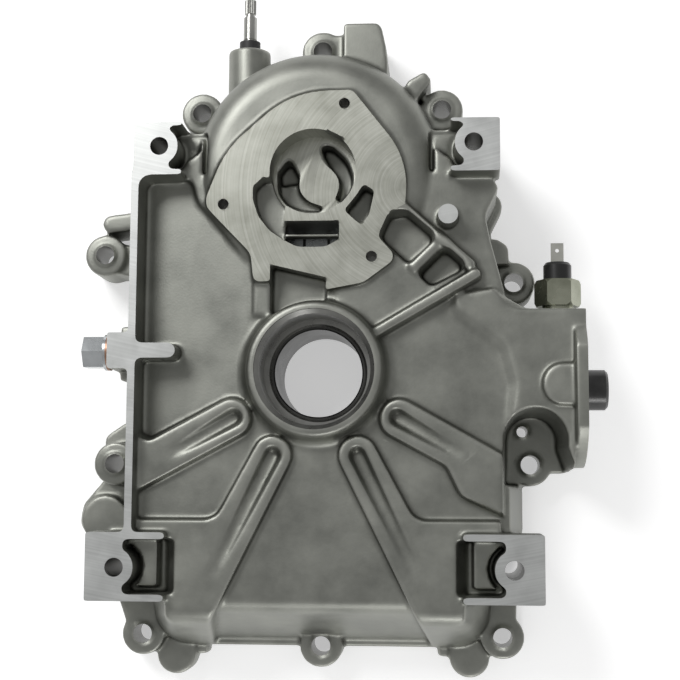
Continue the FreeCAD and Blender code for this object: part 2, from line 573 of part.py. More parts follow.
def shelf_solids():
    """Cast shelf between pump, hub and the right bar, with the bar and the crest on it."""
    shelf, low = mm("shelf_level"), mm("deck_level") - 4
    left = [(-29.4, 26, 0), (10, 26, 0), (10, 50, 0), (-29.4, 54, 0)]
    right = [(10, 22, 0), (27, 16, 0), (76, 44, 3), (72, 50, 3), (58, 64, 3), (40, 77, 0), (8, 60, 0)]
    bar = [(28.6, 15.2, 0), (76.4, 43.0, 2), (74.2, 47.0, 2), (26.2, 18.6, 0)]
    crest = [(38, 75, 0), (54.8, 60.6, 0), (59.4, 57.1, 0), (70, 46, 0), (75, 48, 2), (65, 56.8, 3),
             (61, 60.8, 3), (55.6, 64.6, 3), (42, 77, 0)]
    ridge = [(42.6, 48.3, 0), (45.6, 45.3, 0), (58.2, 58.0, 0), (55.2, 61.0, 0)]
    return [drafted(left, low, shelf - 1, 6), drafted(right, low, shelf, 8), drafted(bar, low, mm("bar_level"), 6),
            drafted(crest, low, mm("pump_level") + 1, 10), drafted(ridge, low, mm("pump_level") - 0.5, 6)]


def shelf_pockets():
    floor, above = mm("window_level") - 2.5, mm("pad_level")
    first = [(29.8, 62.4, 3), (42.6, 50.2, 2), (55.0, 61.8, 3), (41.6, 73.4, 3), (34.2, 72.2, 3)]
    second = [(47.6, 44.8, 2), (53.2, 39.6, 2.5), (69.0, 47.9, 2.5), (59.6, 56.4, 2.5)]
    bridge = [(-21.3, 26, 0), (4.4, 32, 0), (4.8, 42.9, 0), (-21.3, 49.2, 0)]
    return [tub(first, floor, above, 5), tub(second, floor, above, 5),
            prism(bridge, floor, mm("hub_level") + 1).cut(post(0, 0, mm("hub_radius") + 1, 0, above))]


def pump_hollows():
    """Rotor pocket, shaft bore, kidney ports, outer ports, inlet window and screw holes."""
    level, floor = mm("pump_level"), mm("rotor_floor")
    above = level + 8
    rx, ry, rotor = mm("rotor_x"), mm("rotor_y"), mm("rotor_radius")
    shaft_y = mm("pump_shaft_y")
    pocket = post(rx, ry, rotor, floor, above)
    collar = post(0, shaft_y, mm("pump_collar"), 0, floor + 1.2)
    bore = post(0, shaft_y, mm("pump_bore"), 0, above)
    shallow, deep = floor - mm("kidney_depth"), floor - 2 * mm("kidney_depth")
    left_kidney = [(-15.5, 102.1, 1), (-20.0, 96.1, 3), (-19.2, 85.2, 3), (-15.3, 80.4, 6), (-8.9, 77.7, 10),
                   (2.2, 77.3, 0.8), (0.5, 79.8, 0.8), (-6.3, 82.9, 8), (-9.9, 87.3, 6), (-9.9, 94.2, 3),
                   (-13.4, 101.2, 0.8)]
    right_kidney = [(2.5, 109.3, 1), (0.8, 107.6, 0.8), (2.1, 103.7, 4), (5.1, 98.4, 12), (9.3, 93.1, 8),
                    (9.7, 88.8, 6), (7.8, 83.6, 0.8), (9.9, 81.2, 1), (14.6, 87.0, 10), (16.0, 93.9, 12),
                    (12.8, 102.2, 12), (6.3, 108.4, 1.2)]
    upper_left = [(-17, 101, 0), (-21, 96, 0), (-20, 90.5, 0), (-9.9, 92, 0), (-9.9, 94.2, 0), (-13.4, 101.2, 0)]
    port_floor = mm("window_level") - 2.5
    left_port = [(-25.2, 90.5, 2), (-29.8, 86.3, 3), (-29.7, 79.5, 4), (-27.1, 71.8, 6), (-21.6, 65.0, 5),
                 (-15.4, 60.8, 0), (-15.4, 69.6, 0), (-14, 80, 0), (-20, 90, 0)]
    right_port = [(22.0, 86.7, 2), (18.3, 81.0, 3), (12.9, 74.4, 2), (20.8, 67.3, 2), (24.5, 72.1, 6),
                  (27.0, 83.5, 2.5)]
    window = [(-15.4, 69.6, 0.6), (-15.4, 60.8, 1), (-9, 57.4, 8), (4.5, 57.4, 8), (10.6, 60.8, 1),
              (10.6, 69.6, 0.6)]
    slit = [(4.4, 111.8, 0.4), (12.4, 107.6, 0.4), (12.9, 108.7, 0.4), (4.9, 112.9, 0.4)]
    bar = box(-17, 12, 63.2, 64.9, port_floor - 2, mm("window_level") + 2.5)
    tools = [pocket.cut(collar), bore, prism(left_kidney, shallow, floor + 1), prism(right_kidney, deep, floor + 1),
             prism(upper_left, deep, floor + 1).common(prism(left_kidney, deep, floor + 1)),
             prism(left_port, port_floor, above), prism(right_port, port_floor, above),
             prism(window, 0, above).cut(bar), prism(slit, level - 5, above)]
    for x, y in pump_screws():
        tools.append(post(x, y, mm("pump_screw_hole"), level - mm("pump_screw_depth"), above))
    return tools


def pump_screws():
    circle = mm("pump_screw_circle")
    return [(mm("pump_screw_x") + circle * math.cos(math.radians(a)),
             mm("pump_screw_y") + circle * math.sin(math.radians(a))) for a in (70, 190, 310)]


def strainer_plan():
    """Plan of the inlet box below the pump window: lowest and highest X, then Y."""
    return -21.0, 14.0, 53.0, 79.0


def strainer_screws():
    x0, x1, y0, y1 = strainer_plan()
    out = mm("strainer_head") + 0.6
    return [(x0 - out, (y0 + y1) / 2), (x1 + out, (y0 + y1) / 2)]


# Filter side

def platform_corners():
    right = mm("filter_face_x") - mm("rim_thick") - 0.3
    top, low = mm("platform_top_y"), mm("platform_low_y")
    return [(86.6, low, 0), (100, low - 6, 6), (108, low, 3), (right, low, 2), (right, top, 0),
            (90, top, 3), (82, 38, 3), (62.5, 34.5, 3), (66, 28, 3), (76.4, 20.6, 8), (87.5, 11.9, 8),
            (92.4, -6, 10), (90, -24, 5), (86.6, -30, 0)]


def filter_solids():
    """Platform with its rolled left edge, the round filter face, the switch wall and the nipple boss."""
    face, thick = mm("filter_face_x"), mm("rim_thick")
    y, z, rim = mm("filter_y"), mm("filter_z"), mm("filter_rim")
    level = mm("platform_level")
    disc = Part.makeCylinder(rim, thick, Vector(face - thick, y, z), Vector(1, 0, 0))
    disc = disc.common(box(face - thick, face, y - rim, y + rim, 0, mm("filter_rim_level")))
    platform = prism(platform_corners(), 0, level)
    base = prism([(84, -38, 0), (96, -38, 0), (96, 24, 0), (90, 28, 0), (84, 34, 0)], 0, mm("deck_level"))
    rolled = [(91.5, -24, 0), (96, -24, 0), (96, 24, 0), (78, 34, 0), (64, 33.5, 3), (67, 28.3, 3),
              (76.9, 20.9, 8), (88, 12.2, 8), (92.8, -6, 10)]
    reach = prism([(54, -36, 0), (98, -36, 0), (98, 28, 0), (84, 36, 0), (64, 40, 0), (54, 36, 0)],
                  mm("window_level"), level)
    slope = drafted(rolled, mm("deck_level") - 1, level, 64).common(reach)
    boss = drafted([(103.7, -15.8, 9.3), (face - 1, -15.8, 0), (face - 1, 2.9, 0), (103.7, 2.9, 9.3)],
                   level - 2, level + 3, 8)
    switch_wall = box(face - thick - 1, face, mm("rim_box_y"), mm("platform_top_y"), 0, level)
    plate = prism([(106, -46, 0), (face - thick, -46, 3), (face - thick, -26, 0), (106, -26, 0)], 0,
                  mm("flange_level") - 2)
    return [platform, base, slope, disc, boss, switch_wall, plate]


def ear_recess():
    """Room for the socket over the lower right ear, with the round drafted wall behind it."""
    low, top = mm("low_ear_level"), mm("pad_level")
    x, y, radius, draft = mm("recess_x"), -mm("recess_y"), mm("recess_radius"), 3.6
    flare = (top - low) * math.tan(math.radians(draft))
    round_part = Part.makeCone(radius, radius + flare, top - low, Vector(x, y, low))
    left, right = x - radius, mm("filter_face_x") - mm("rim_thick") - 0.3
    neck = tub([(left, y - 45, 0), (right - 8, y - 45, 0), (right - 2, y - 14, 0), (x + radius, y - 4, 0),
                (x + radius - 1, y, 0), (left, y, 0)], low, top, draft)
    return round_part.fuse(neck).common(box(left - 5, right, y - 50, y + 20, low, top))


# Cavity and inside forms

def cavity():
    """Room inside the cover, one wall in from the outside."""
    wall, roof = mm("side_wall"), mm("roof_wall")
    top = mm("window_level") - roof
    lean = mm("lower_lean")
    foot = -mm("bottom_wall_y") + wall / math.cos(math.radians(lean))
    main = prism(moved_out(wall_corners(), -wall), -1, top).common(leaning_space(foot, lean, top))
    main = main.common(corner_space(mm("bottom_wall_y"), mm("corner_foot"), lean, wall))
    main = main.fuse(post(mm("dome_x"), mm("dome_y"), mm("dome_radius") - wall, -1, top))
    right = box(mm("right_wall_x") - wall, 90, -60, 30, -2, mm("pad_level"))
    return main.cut(right)


def inner_solids():
    """Bosses and webs that stand in the cavity: hub, pump block, ribs, governor and gallery."""
    roof = mm("window_level") - mm("roof_wall") + 1
    parts = [post(0, 0, mm("inner_hub"), 0, mm("deck_level") - 1)]
    rx, ry = mm("rotor_x"), mm("rotor_y")
    parts.append(post(rx, ry, mm("pump_block"), mm("pump_block_level"), mm("pump_level") - 1))
    for degrees in (-150, -116.5, -63.5, -30, 30, 180):
        along = (math.cos(math.radians(degrees)), math.sin(math.radians(degrees)))
        parts.append(bar_between((along[0] * 26, along[1] * 26), (along[0] * 122, along[1] * 122), 2.2,
                                 roof - 14, roof))
    stand = mm("gear_top") + mm("washer_thick") + 2 * mm("running_gap")
    parts.append(post(mm("governor_x"), mm("governor_y"), 6.5, stand, roof + 1))
    x0, x1, y0, y1 = strainer_plan()
    parts.append(box(x0, x1, y0, y1, mm("pump_block_level"), roof + 1))
    parts += [post(x, y, 5, mm("pump_block_level"), roof + 1) for x, y in strainer_screws()]
    tube = Part.makeCylinder(mm("gallery_tube"), 74, Vector(20, mm("filter_y"), mm("filter_z")),
                             Vector(1, 0, 0))
    parts.append(tube)
    parts.append(box(20, 92, mm("filter_y") - 3, mm("filter_y") + 3, mm("filter_z"), roof))
    bush_y = mm("cross_boss_end")
    parts.append(Part.makeCylinder(mm("cross_boss") - 1.5, 42,
                                   Vector(mm("cross_x"), bush_y - 42, mm("cross_z")), Vector(0, 1, 0)))
    return parts


def bores():
    """Drilled holes: ears, pads, galleries, switch, nipple, relief valve, drain and governor."""
    above = mm("pad_level") + 5
    tools = [post(x, y, mm("mount_hole"), -1, above) for x, y in mount_holes()]
    tools += [post(x, y, mm("ear_hole"), -1, top + 1) for x, y, top, _ in ears()]
    tools += [post(x, y, mm("ear_hole") + 0.4, top, top + 30) for x, y, top, _ in ears()]
    tools.append(post(96, -26.4, 2.6, -1, above))
    face, fy, fz = mm("filter_face_x"), mm("filter_y"), mm("filter_z")
    left_to_right = Vector(1, 0, 0)
    tools.append(Part.makeCylinder(mm("nipple_radius"), mm("nipple_seat"),
                                   Vector(face - mm("nipple_seat"), fy, fz), left_to_right))
    tools.append(Part.makeCylinder(mm("gallery_bore"), face, Vector(0, fy, fz), left_to_right))
    top = mm("platform_top_y")
    backward = Vector(0, -1, 0)
    tools.append(Part.makeCylinder(mm("gallery_bore"), top - fy, Vector(mm("switch_x"), top, mm("switch_z")),
                                   backward))
    tools.append(Part.makeCylinder(mm("switch_thread"), mm("switch_thread_length") + 2,
                                   Vector(mm("switch_x"), top + 0.01, mm("switch_z")), backward))
    relief_x, relief_y = mm("relief_x"), mm("relief_y")
    tools.append(post(relief_x, relief_y, mm("relief_bore"), -1, mm("relief_depth")))
    tools.append(Part.makeCylinder(mm("gallery_bore") - 0.5, relief_y - fy, Vector(relief_x, relief_y, fz + 3.4),
                                   backward))
    left, reach = mm("left_wall_x"), mm("drain_boss_reach")
    tools.append(Part.makeCylinder(mm("drain_thread"), mm("drain_thread_length") + 1,
                                   Vector(-left - reach - 0.01, mm("drain_y"), mm("drain_z")), left_to_right))
    tools.append(Part.makeCylinder(4, 24, Vector(-left - reach, mm("drain_y"), mm("drain_z")), left_to_right))
    tools.append(box(-left + 6, -left + 15, mm("drain_y") - 2, mm("drain_y") + 2, 30, mm("drain_z") + 2))
    bush = mm("cross_radius") + mm("cross_gap")
    end, x, z = mm("cross_boss_end"), mm("cross_x"), mm("cross_z")
    tools.append(Part.makeCylinder(bush + 0.6, 60, Vector(x, end + 0.01, z), backward))
    seat, length = bush + mm("cross_bush_wall"), mm("cross_bush_length")
    tools.append(Part.makeCylinder(seat, length, Vector(x, end + 0.01, z), backward))
    tools.append(Part.makeCylinder(seat, length, Vector(x, end - 42 + length, z), backward))
    tools.append(post(mm("governor_x"), mm("governor_y"), mm("stub_radius"), 0, mm("window_level") - 3))
    tools += [post(x, y, mm("strainer_screw"), 0, mm("pump_block_level") + 10) for x, y in strainer_screws()]
    return tools


def governor_boss():
    """Long boss of the cross shaft and the wall that carries it from the flange."""
    boss_start, x, z = 118, mm("cross_x"), mm("cross_z")
    end, radius = mm("cross_boss_end"), mm("cross_boss")
    boss = Part.makeCylinder(radius, end - boss_start, Vector(x, boss_start, z), Vector(0, 1, 0))
    wall = [(x - radius, boss_start - 2, 0), (x + radius + 1.2, boss_start - 2, 0), (x + radius + 1.2, end - 8, 6),
            (x + radius - 2.5, end - 2, 6), (x - radius, end - 2, 4)]
    return [boss, prism(wall, 0, z)]


def casting():
    """The whole cover casting: outside forms, then the hollows, inside forms and drilled holes."""
    datum = post(61.0, 70.6, 4.7, 40, mm("pad_level"))
    blocks, pad_hollows = pad_solids()
    body = outer_shell().cut(window_hollow())
    for group in ([hub_solid()], shelf_solids(), [pump_boss()], filter_solids(), [flange()],
                  ear_solids(), raised_solids(), governor_boss(), [datum]):
        body = body.fuse(group)
    body = body.cut(ear_recess())
    body = body.fuse(blocks)
    body = body.fuse(rib_solids())
    body = body.cut(pad_hollows)
    body = body.cut(cavity())
    body = body.fuse([solid.common(envelope()) for solid in inner_solids()])
    grooves = [groove(side, mm("outer_tongue_angle"), mm("outer_tongue_start") - 1, mm("outer_groove_length"))
               for side in (-1, 1)]
    grooves += [groove(side, mm("inner_tongue_angle"), mm("inner_tongue_start"), mm("inner_groove_length"))
                for side in (-1, 1)]
    body = body.cut(grooves + shelf_pockets())
    body = body.cut(pump_hollows() + [hub_bore()] + bores())
    return body


def window_hollow():
    """Lower part of the deck between the left rib and the pump. Its floor climbs to the deck."""
    left = -mm("left_wall_x") + 0.4 + mm("rib_width")
    right, floor = -mm("hub_radius"), mm("window_level")
    top = mount_holes()[0][1] - mm("upper_pad_down")
    corners = [(left, -42, 0), (-62, -42, 0), (right, -20, 0), (right, 50, 12), (-57, 80, 12), (-60, top, 4),
               (left, top, 5.5)]
    climb = math.degrees(math.atan2(mm("deck_level") - floor, right - left))
    hollow = tub(corners, floor, mm("pad_level"), 20)
    hollow.rotate(Vector(left, 0, floor), Vector(0, 1, 0), -climb)
    return hollow


def envelope():
    """Space that inside forms may fill."""
    roof, inset = mm("deck_level") - 1, 2
    main = prism(moved_out(wall_corners(), -inset), 0, roof)
    main = main.common(leaning_space(-mm("bottom_wall_y") + inset, mm("lower_lean"), roof))
    main = main.common(corner_space(mm("bottom_wall_y"), mm("corner_foot"), mm("lower_lean"), inset))
    return main.fuse(post(mm("dome_x"), mm("dome_y"), mm("dome_radius") - inset, 0, roof))


class Size:
    """A length together with the sheet expression that gives it."""

    def __init__(self, value, text):
        self.value, self.text = value, text

    def join(self, other, sign, value):
        text = other.text if isinstance(other, Size) else str(other)
        return Size(value, f"({self.text} {sign} {text})")

    def __add__(self, other):
        return self.join(other, "+", self.value + number(other))

    def __sub__(self, other):
        return self.join(other, "-", self.value - number(other))

    def __mul__(self, other):
        return self.join(other, "*", self.value * number(other))


def number(value):
    return value.value if isinstance(value, Size) else value


def cell(alias):
    """A bound length from the sheet."""
    return Size(mm(alias), f"{sheet.Name}.{alias}")


def bind(item, prop, value):
    """Tie one property to the sheet, or set it where it is a plain number."""
    if isinstance(value, Size):
        item.setExpression(prop, value.text)
    else:
        item.setExpression(prop, str(value))


TURNS = {"up": FreeCAD.Rotation(), "down": FreeCAD.Rotation(Vector(1, 0, 0), 180),
         "right": FreeCAD.Rotation(Vector(0, 1, 0), 90), "left": FreeCAD.Rotation(Vector(0, 1, 0), -90),
         "back": FreeCAD.Rotation(Vector(1, 0, 0), -90), "front": FreeCAD.Rotation(Vector(1, 0, 0), 90)}


def seat(item, at, facing):
    """Turn an object and tie its place to the sheet."""
    item.Placement = FreeCAD.Placement(Vector(*[number(v) for v in at]), TURNS[facing])
    for axis, value in zip("xyz", at):
        bind(item, f"Placement.Base.{axis}", value)
    return item


def tie_point(sketch, index, kind, axis, value):
    """Hold one coordinate of a line's start point at a sheet length."""
    if isinstance(value, Size):
        row = sketch.addConstraint(Sketcher.Constraint(kind, -1, 1, index, 1, value.value))
        sketch.setExpression(f"Constraints[{row}]", value.text)
    else:
        sketch.addConstraint(Sketcher.Constraint("PointOnObject", index, 1, axis))


def turned(name, profile, at, facing="up"):
    """Lathe piece: (radius, height) points, revolved about its own axis."""
    body = doc.addObject("PartDesign::Body", name)
    sketch = body.newObject("Sketcher::SketchObject", name + "_profile")
    plane = [plane for plane in body.Origin.OriginFeatures if plane.Role == "XZ_Plane"][0]
    sketch.AttachmentSupport = [(plane, "")]
    sketch.MapMode = "FlatFace"
    points = [Vector(number(radius), number(height), 0) for radius, height in profile]
    count = len(points)
    for i in range(count):
        sketch.addGeometry(Part.LineSegment(points[i], points[(i + 1) % count]))
    for i in range(count):
        sketch.addConstraint(Sketcher.Constraint("Coincident", i, 2, (i + 1) % count, 1))
    for i, (radius, height) in enumerate(profile):
        tie_point(sketch, i, "DistanceX", -2, radius)
        tie_point(sketch, i, "DistanceY", -1, height)
    spin = body.newObject("PartDesign::Revolution", name + "_turning")
    spin.Profile = sketch
    spin.ReferenceAxis = (sketch, ["V_Axis"])
    spin.Angle = 360
    sketch.Visibility = False
    seat(body, at, facing)
    return body


def cylinder(name, radius, height, at, facing="up"):
    item = doc.addObject("Part::Cylinder", name)
    bind(item, "Radius", radius)
    bind(item, "Height", height)
    return seat(item, at, facing)


def hexagon(name, across_flats, height, at, facing="up"):
    item = doc.addObject("Part::Prism", name)
    item.Polygon = 6
    bind(item, "Circumradius", across_flats * (1 / math.sqrt(3)))
    bind(item, "Height", height)
    return seat(item, at, facing)


def block(name, length, width, height, at):
    item = doc.addObject("Part::Box", name)
    bind(item, "Length", length)
    bind(item, "Width", width)
    bind(item, "Height", height)
    return seat(item, at, "up")


def joined(name, items):
    item = doc.addObject("Part::MultiFuse", name)
    item.Shapes = items
    return item


def carved(name, base, tools):
    item = doc.addObject("Part::Cut", name)
    item.Base = base
    item.Tool = tools[0] if len(tools) == 1 else joined(name + "_tools", tools)
    return item


NODES = []


def keep(item, label):
    """Give a finished sub-part the name of its file."""
    item.Label = label
    NODES.append(item)
    return item


def formed(name, shape):
    """A sub-part whose shape is worked out here from the sheet."""
    item = doc.addObject("Part::Feature", name)
    item.Shape = shape
    return item


# Main bearing

def main_bush():
    bore, wall, top = cell("bush_bore"), cell("bush_wall"), cell("bush_top")
    lead = 0.6
    sleeve = turned("bush_sleeve", [(bore, 0), (bore + wall, 0), (bore + wall, top), (bore + lead, top),
                                    (bore, top - lead)], (0, 0, 0))
    feed = cylinder("bush_feed", cell("gallery_bore"), bore + wall + 2,
                    (0, cell("filter_y"), cell("filter_z")), "right")
    return carved("bush", sleeve, [feed])


# Governor cross shaft and its lever

def cross_shaft():
    """Ground shaft with a neck and a serrated tip for the outside arm."""
    radius, tip = mm("cross_radius"), mm("cross_tip_radius")
    x, z, start, end = mm("cross_x"), mm("cross_z"), mm("cross_inner_y"), mm("cross_tip_y")
    shoulder = end - mm("cross_tip_length") - 2.0
    along = Vector(0, 1, 0)
    rod = Part.makeCylinder(radius, shoulder - start, Vector(x, start, z), along)
    neck = Part.makeCylinder(tip - 0.5, 2.0, Vector(x, shoulder, z), along)
    teeth = 16
    points = []
    for i in range(2 * teeth):
        reach = tip if i % 2 == 0 else tip - 0.4
        angle = math.pi * i / teeth
        points.append(Vector(x + reach * math.cos(angle), shoulder + 2.0, z + reach * math.sin(angle)))
    crown = Part.Face(Part.makePolygon(points + points[:1])).extrude(Vector(0, mm("cross_tip_length"), 0))
    groove_y = mm("cross_boss_end") - 42 - mm("washer_thick") - mm("rest_gap") - mm("clip_thick")
    groove_ring = Part.makeCylinder(radius + 1, mm("clip_thick") + 0.1, Vector(x, groove_y - 0.05, z), along)
    groove_ring = groove_ring.cut(Part.makeCylinder(radius - 0.6, 5, Vector(x, groove_y - 2, z), along))
    relief_y = mm("cross_boss_end") + mm("cross_seal_height") + 0.3
    relief = Part.makeCylinder(radius + 1, 1.0, Vector(x, relief_y, z), along)
    relief = relief.cut(Part.makeCylinder(radius - mm("cross_groove"), 3, Vector(x, relief_y - 1, z), along))
    return formed("shaft", rod.fuse([neck, crown]).cut([groove_ring, relief]))


def ring_along(name, inner, outer, length, y):
    """Ring on the cross shaft, from y towards the tip."""
    profile = [(inner, 0), (outer, 0), (outer, length), (inner, length)]
    return turned(name, profile, (cell("cross_x"), y, cell("cross_z")), "back")


def cross_shaft_rings():
    inner = cell("cross_radius") + cell("cross_gap")
    outer, length = inner + cell("cross_bush_wall"), cell("cross_bush_length")
    end = cell("cross_boss_end")
    boss_length = 42
    inside = end - boss_length
    washer_y = inside - cell("washer_thick") - cell("rest_gap") * 0.5
    clip_y = inside - cell("washer_thick") - cell("rest_gap") - cell("clip_thick")
    keep(ring_along("bush_out", inner, outer, length, end - length), "governor_shaft_outer_bush")
    keep(ring_along("bush_in", inner, outer, length, inside), "governor_shaft_inner_bush")
    keep(ring_along("seal", inner, cell("cross_seal"), cell("cross_seal_height"), end), "governor_shaft_seal")
    keep(ring_along("washer", inner, outer + 1.5, cell("washer_thick"), washer_y), "governor_shaft_washer")
    keep(ring_along("clip", cell("cross_radius") - 0.6, outer + 0.8, cell("clip_thick"), clip_y),
         "governor_shaft_clip")


def governor_lever():
    """Bent lever on the inner end of the cross shaft, its paddle under the sleeve."""
    x, z, y = mm("cross_x"), mm("cross_z"), mm("governor_y")
    half, thick = mm("lever_width") / 2, mm("lever_thick")
    top = mm("sleeve_end") - mm("lever_gap")
    eye = Part.makeCylinder(mm("cross_radius") + 2, mm("lever_width"), Vector(x, y - half, z), Vector(0, 1, 0))
    leg = box(x - thick, x + thick, y - half, y + half, top - thick, z)
    paddle = box(mm("governor_x") - 5, x + thick, y - half, y + half, top - thick, top)
    bore = Part.makeCylinder(mm("cross_radius"), 40, Vector(x, y - 20, z), Vector(0, 1, 0))
    lever = eye.fuse([leg, paddle]).cut(bore)
    return formed("lever", lever)


# Governor on its stub shaft

def governor_axis(level):
    return cell("governor_x"), cell("governor_y"), level


def stub_shaft():
    """Fixed pin in the roof, with a groove for the clip under the gear."""
    radius, end = cell("stub_radius"), cell("stub_end")
    groove_low = cell("gear_top") - cell("gear_thick") - cell("clip_thick") - cell("rest_gap")
    groove_high = groove_low + cell("clip_thick")
    top = cell("window_level") - 3
    profile = [(0, 0), (radius - 0.6, 0), (radius, Size(0.6, "0.6")), (radius, groove_low - end),
               (radius - 0.6, groove_low - end), (radius - 0.6, groove_high - end),
               (radius, groove_high - end), (radius, top - end), (0, top - end)]
    return turned("stub", profile, governor_axis(end))


def governor_rings():
    radius = cell("stub_radius")
    bore = radius + cell("running_gap")
    gear_top, gear_low = cell("gear_top"), cell("gear_top") - cell("gear_thick")
    washer = [(bore, 0), (bore + 2.5, 0), (bore + 2.5, cell("washer_thick")), (bore, cell("washer_thick"))]
    keep(turned("gear_washer", washer, governor_axis(gear_top + cell("running_gap"))), "governor_thrust_washer")
    thick = cell("clip_thick")
    clip = [(radius - 0.6, 0), (radius + 1.4, 0), (radius + 1.4, thick), (radius - 0.6, thick)]
    keep(turned("gear_clip", clip, governor_axis(gear_low - thick - cell("rest_gap"))), "governor_clip")


def governor_gear():
    """Moulded gear with two pairs of ears that hold the flyweight pins."""
    x, y, top = mm("governor_x"), mm("governor_y"), mm("gear_top")
    low, tip, tooth = top - mm("gear_thick"), mm("gear_tip"), mm("gear_tooth")
    teeth = round(mm("gear_teeth"))
    pitch = 2 * math.pi / teeth
    points = []
    for i in range(teeth):
        for share, reach in ((-0.30, tip - tooth), (-0.13, tip), (0.13, tip), (0.30, tip - tooth)):
            angle = (i + share) * pitch
            points.append(Vector(x + reach * math.cos(angle), y + reach * math.sin(angle), low))
    wheel = Part.Face(Part.makePolygon(points + points[:1])).extrude(Vector(0, 0, top - low))
    web = post(x, y, tip - tooth - 2.2, low - 1, low + 2.5).cut(post(x, y, mm("stub_radius") + 3, 0, top))
    wheel = wheel.cut(web.common(post(x, y, tip, low - 1, low + 2.5)))
    reach, level, half = mm("pin_reach"), mm("pin_level"), mm("weight_width") / 2
    ears = []
    for side in (-1, 1):
        for across in (-1, 1):
            inner = half + mm("rest_gap")
            outer = inner + 2.5
            x0, x1 = sorted((x + across * inner, x + across * outer))
            centre = y + side * reach
            ears.append(box(x0, x1, centre - 2.9, centre + 2.9, level, low + 3))
            ears.append(Part.makeCylinder(2.9, x1 - x0, Vector(x0, centre, level), Vector(1, 0, 0)))
    pins = [Part.makeCylinder(mm("pin_radius"), 30, Vector(x - 15, y + side * reach, level), Vector(1, 0, 0))
            for side in (-1, 1)]
    body = wheel.fuse(ears).cut(pins + [post(x, y, mm("stub_radius") + mm("running_gap"), 0, top + 1)])
    return formed("gear", body)


def flyweight_pins():
    length = cell("weight_width") + cell("rest_gap") * 2 + 5.4
    start = cell("governor_x") - length * 0.5
    pins = [cylinder(f"pin_{name}", cell("pin_radius"), length, (start, cell("governor_y") + cell("pin_reach") * side,
                                                              cell("pin_level")), "right")
            for name, side in (("rear", 1), ("front", -1))]
    return joined("pins", pins)


def flyweight(side):
    """Zinc weight hung on its pin, with a toe that presses on the sleeve."""
    x, y, level = mm("governor_x"), mm("governor_y"), mm("pin_level")
    reach, half = mm("pin_reach"), mm("weight_width") / 2
    toe, back = mm("toe_reach"), mm("pin_reach") + mm("weight_thick")
    front, foot = mm("sleeve_flange") + 0.4, mm("weight_drop")
    profile = [(toe, 0.9), (reach - 1, 2.4), (back - 0.6, 1.6), (back, -2), (back, 1 - foot), (back - 1, -foot),
               (front + 0.8, -foot), (front, 1 - foot), (front, -1.0), (toe, -1.0)]
    points = [Vector(x - half, y + side * r, level + dz) for r, dz in profile]
    plate = Part.Face(Part.makePolygon(points + points[:1])).extrude(Vector(2 * half, 0, 0))
    near, far = sorted((y + side * front, y + side * back))
    mass = box(x - half - 2, x + half + 2, near, far, level - foot, level - 4.2)
    eye = Part.makeCylinder(mm("pin_radius") + mm("running_gap"), 4 * half,
                            Vector(x - 2 * half, y + side * reach, level), Vector(1, 0, 0))
    return formed(f"weight_{'rear' if side > 0 else 'front'}", plate.fuse(mass).cut(eye))


def governor_sleeve():
    """Moulded sleeve that slides on the stub shaft and ends in a domed button."""
    bore = cell("stub_radius") + cell("running_gap")
    outer, flange = cell("sleeve_radius"), cell("sleeve_flange")
    end, top = cell("sleeve_end"), cell("sleeve_top")
    height = top - end
    one = Size(1.0, "1.0")
    profile = [(0, 0), (one * 2.0, one * 0.35), (one * 3.6, one * 1.2), (outer - 0.4, one * 2.2),
               (outer, one * 3.2), (outer, height - 1.5), (flange, height - 1.5), (flange, height),
               (bore, height), (bore, one * 2.6), (0, one * 2.6)]
    return turned("sleeve", profile, governor_axis(end))


# Relief valve

def relief_parts():
    x, y = cell("relief_x"), cell("relief_y")
    bore, gap = cell("relief_bore"), cell("relief_gap")
    outer = bore - gap
    plunger_low = cell("relief_depth") - cell("rest_gap") - cell("relief_plunger")
    one = Size(1.0, "1.0")
    profile = [(one * 2.9, 0), (outer, 0), (outer, cell("relief_plunger") - 1), (outer - 1.5, cell("relief_plunger")),
               (0, cell("relief_plunger")), (0, one * 3.0), (one * 2.9, one * 3.0)]
    keep(turned("plunger", profile, (x, y, plunger_low)), "relief_plunger")
    cap_top = cell("relief_cap") + 1
    cap = turned("cap_blank", [(0, 0), (bore, 0), (bore, cell("relief_cap")), (0, cell("relief_cap"))], (x, y, 1))
    socket = hexagon("cap_socket", one * 5.0, one * 3.0, (x, y, 0.5))
    keep(carved("cap", cap, [socket]), "relief_cap")
    low, high = cap_top.value + mm("rest_gap"), plunger_low.value + 3 - mm("rest_gap")
    wire, coil = 0.55, 2.3
    turns = 6
    helix = Part.makeHelix((high - low - 2 * wire) / turns, high - low - 2 * wire, coil)
    helix.translate(Vector(x.value, y.value, low + wire))
    ring = [Vector(x.value + coil + wire * math.cos(math.radians(a)), y.value,
                   low + wire + wire * math.sin(math.radians(a))) for a in range(0, 360, 60)]
    section = Part.makePolygon(ring + ring[:1])
    spring = Part.Wire(helix.Edges).makePipeShell([section], True, True)
    keep(formed("spring", spring), "relief_spring")


# Filter nipple, pressure switch, drain plug

def filter_nipple():
    """Screwed-in sleeve that the oil filter spins onto, with a hexagon socket in its end."""
    start = cell("filter_face_x") - cell("nipple_seat") + 0.5
    radius, bore = cell("nipple_radius"), cell("nipple_bore")
    total = cell("nipple_seat") + cell("nipple_reach") - 0.5
    face = cell("nipple_seat") - 0.5
    profile = [(bore, 0), (radius, 0), (radius, face - 1.2), (radius - 0.8, face - 0.7), (radius - 0.8, face + 0.5),
               (radius, face + 0.5), (radius, total - 1.2), (radius - 1.2, total), (bore, total)]
    return turned("nipple", profile, (start, cell("filter_y"), cell("filter_z")), "right")


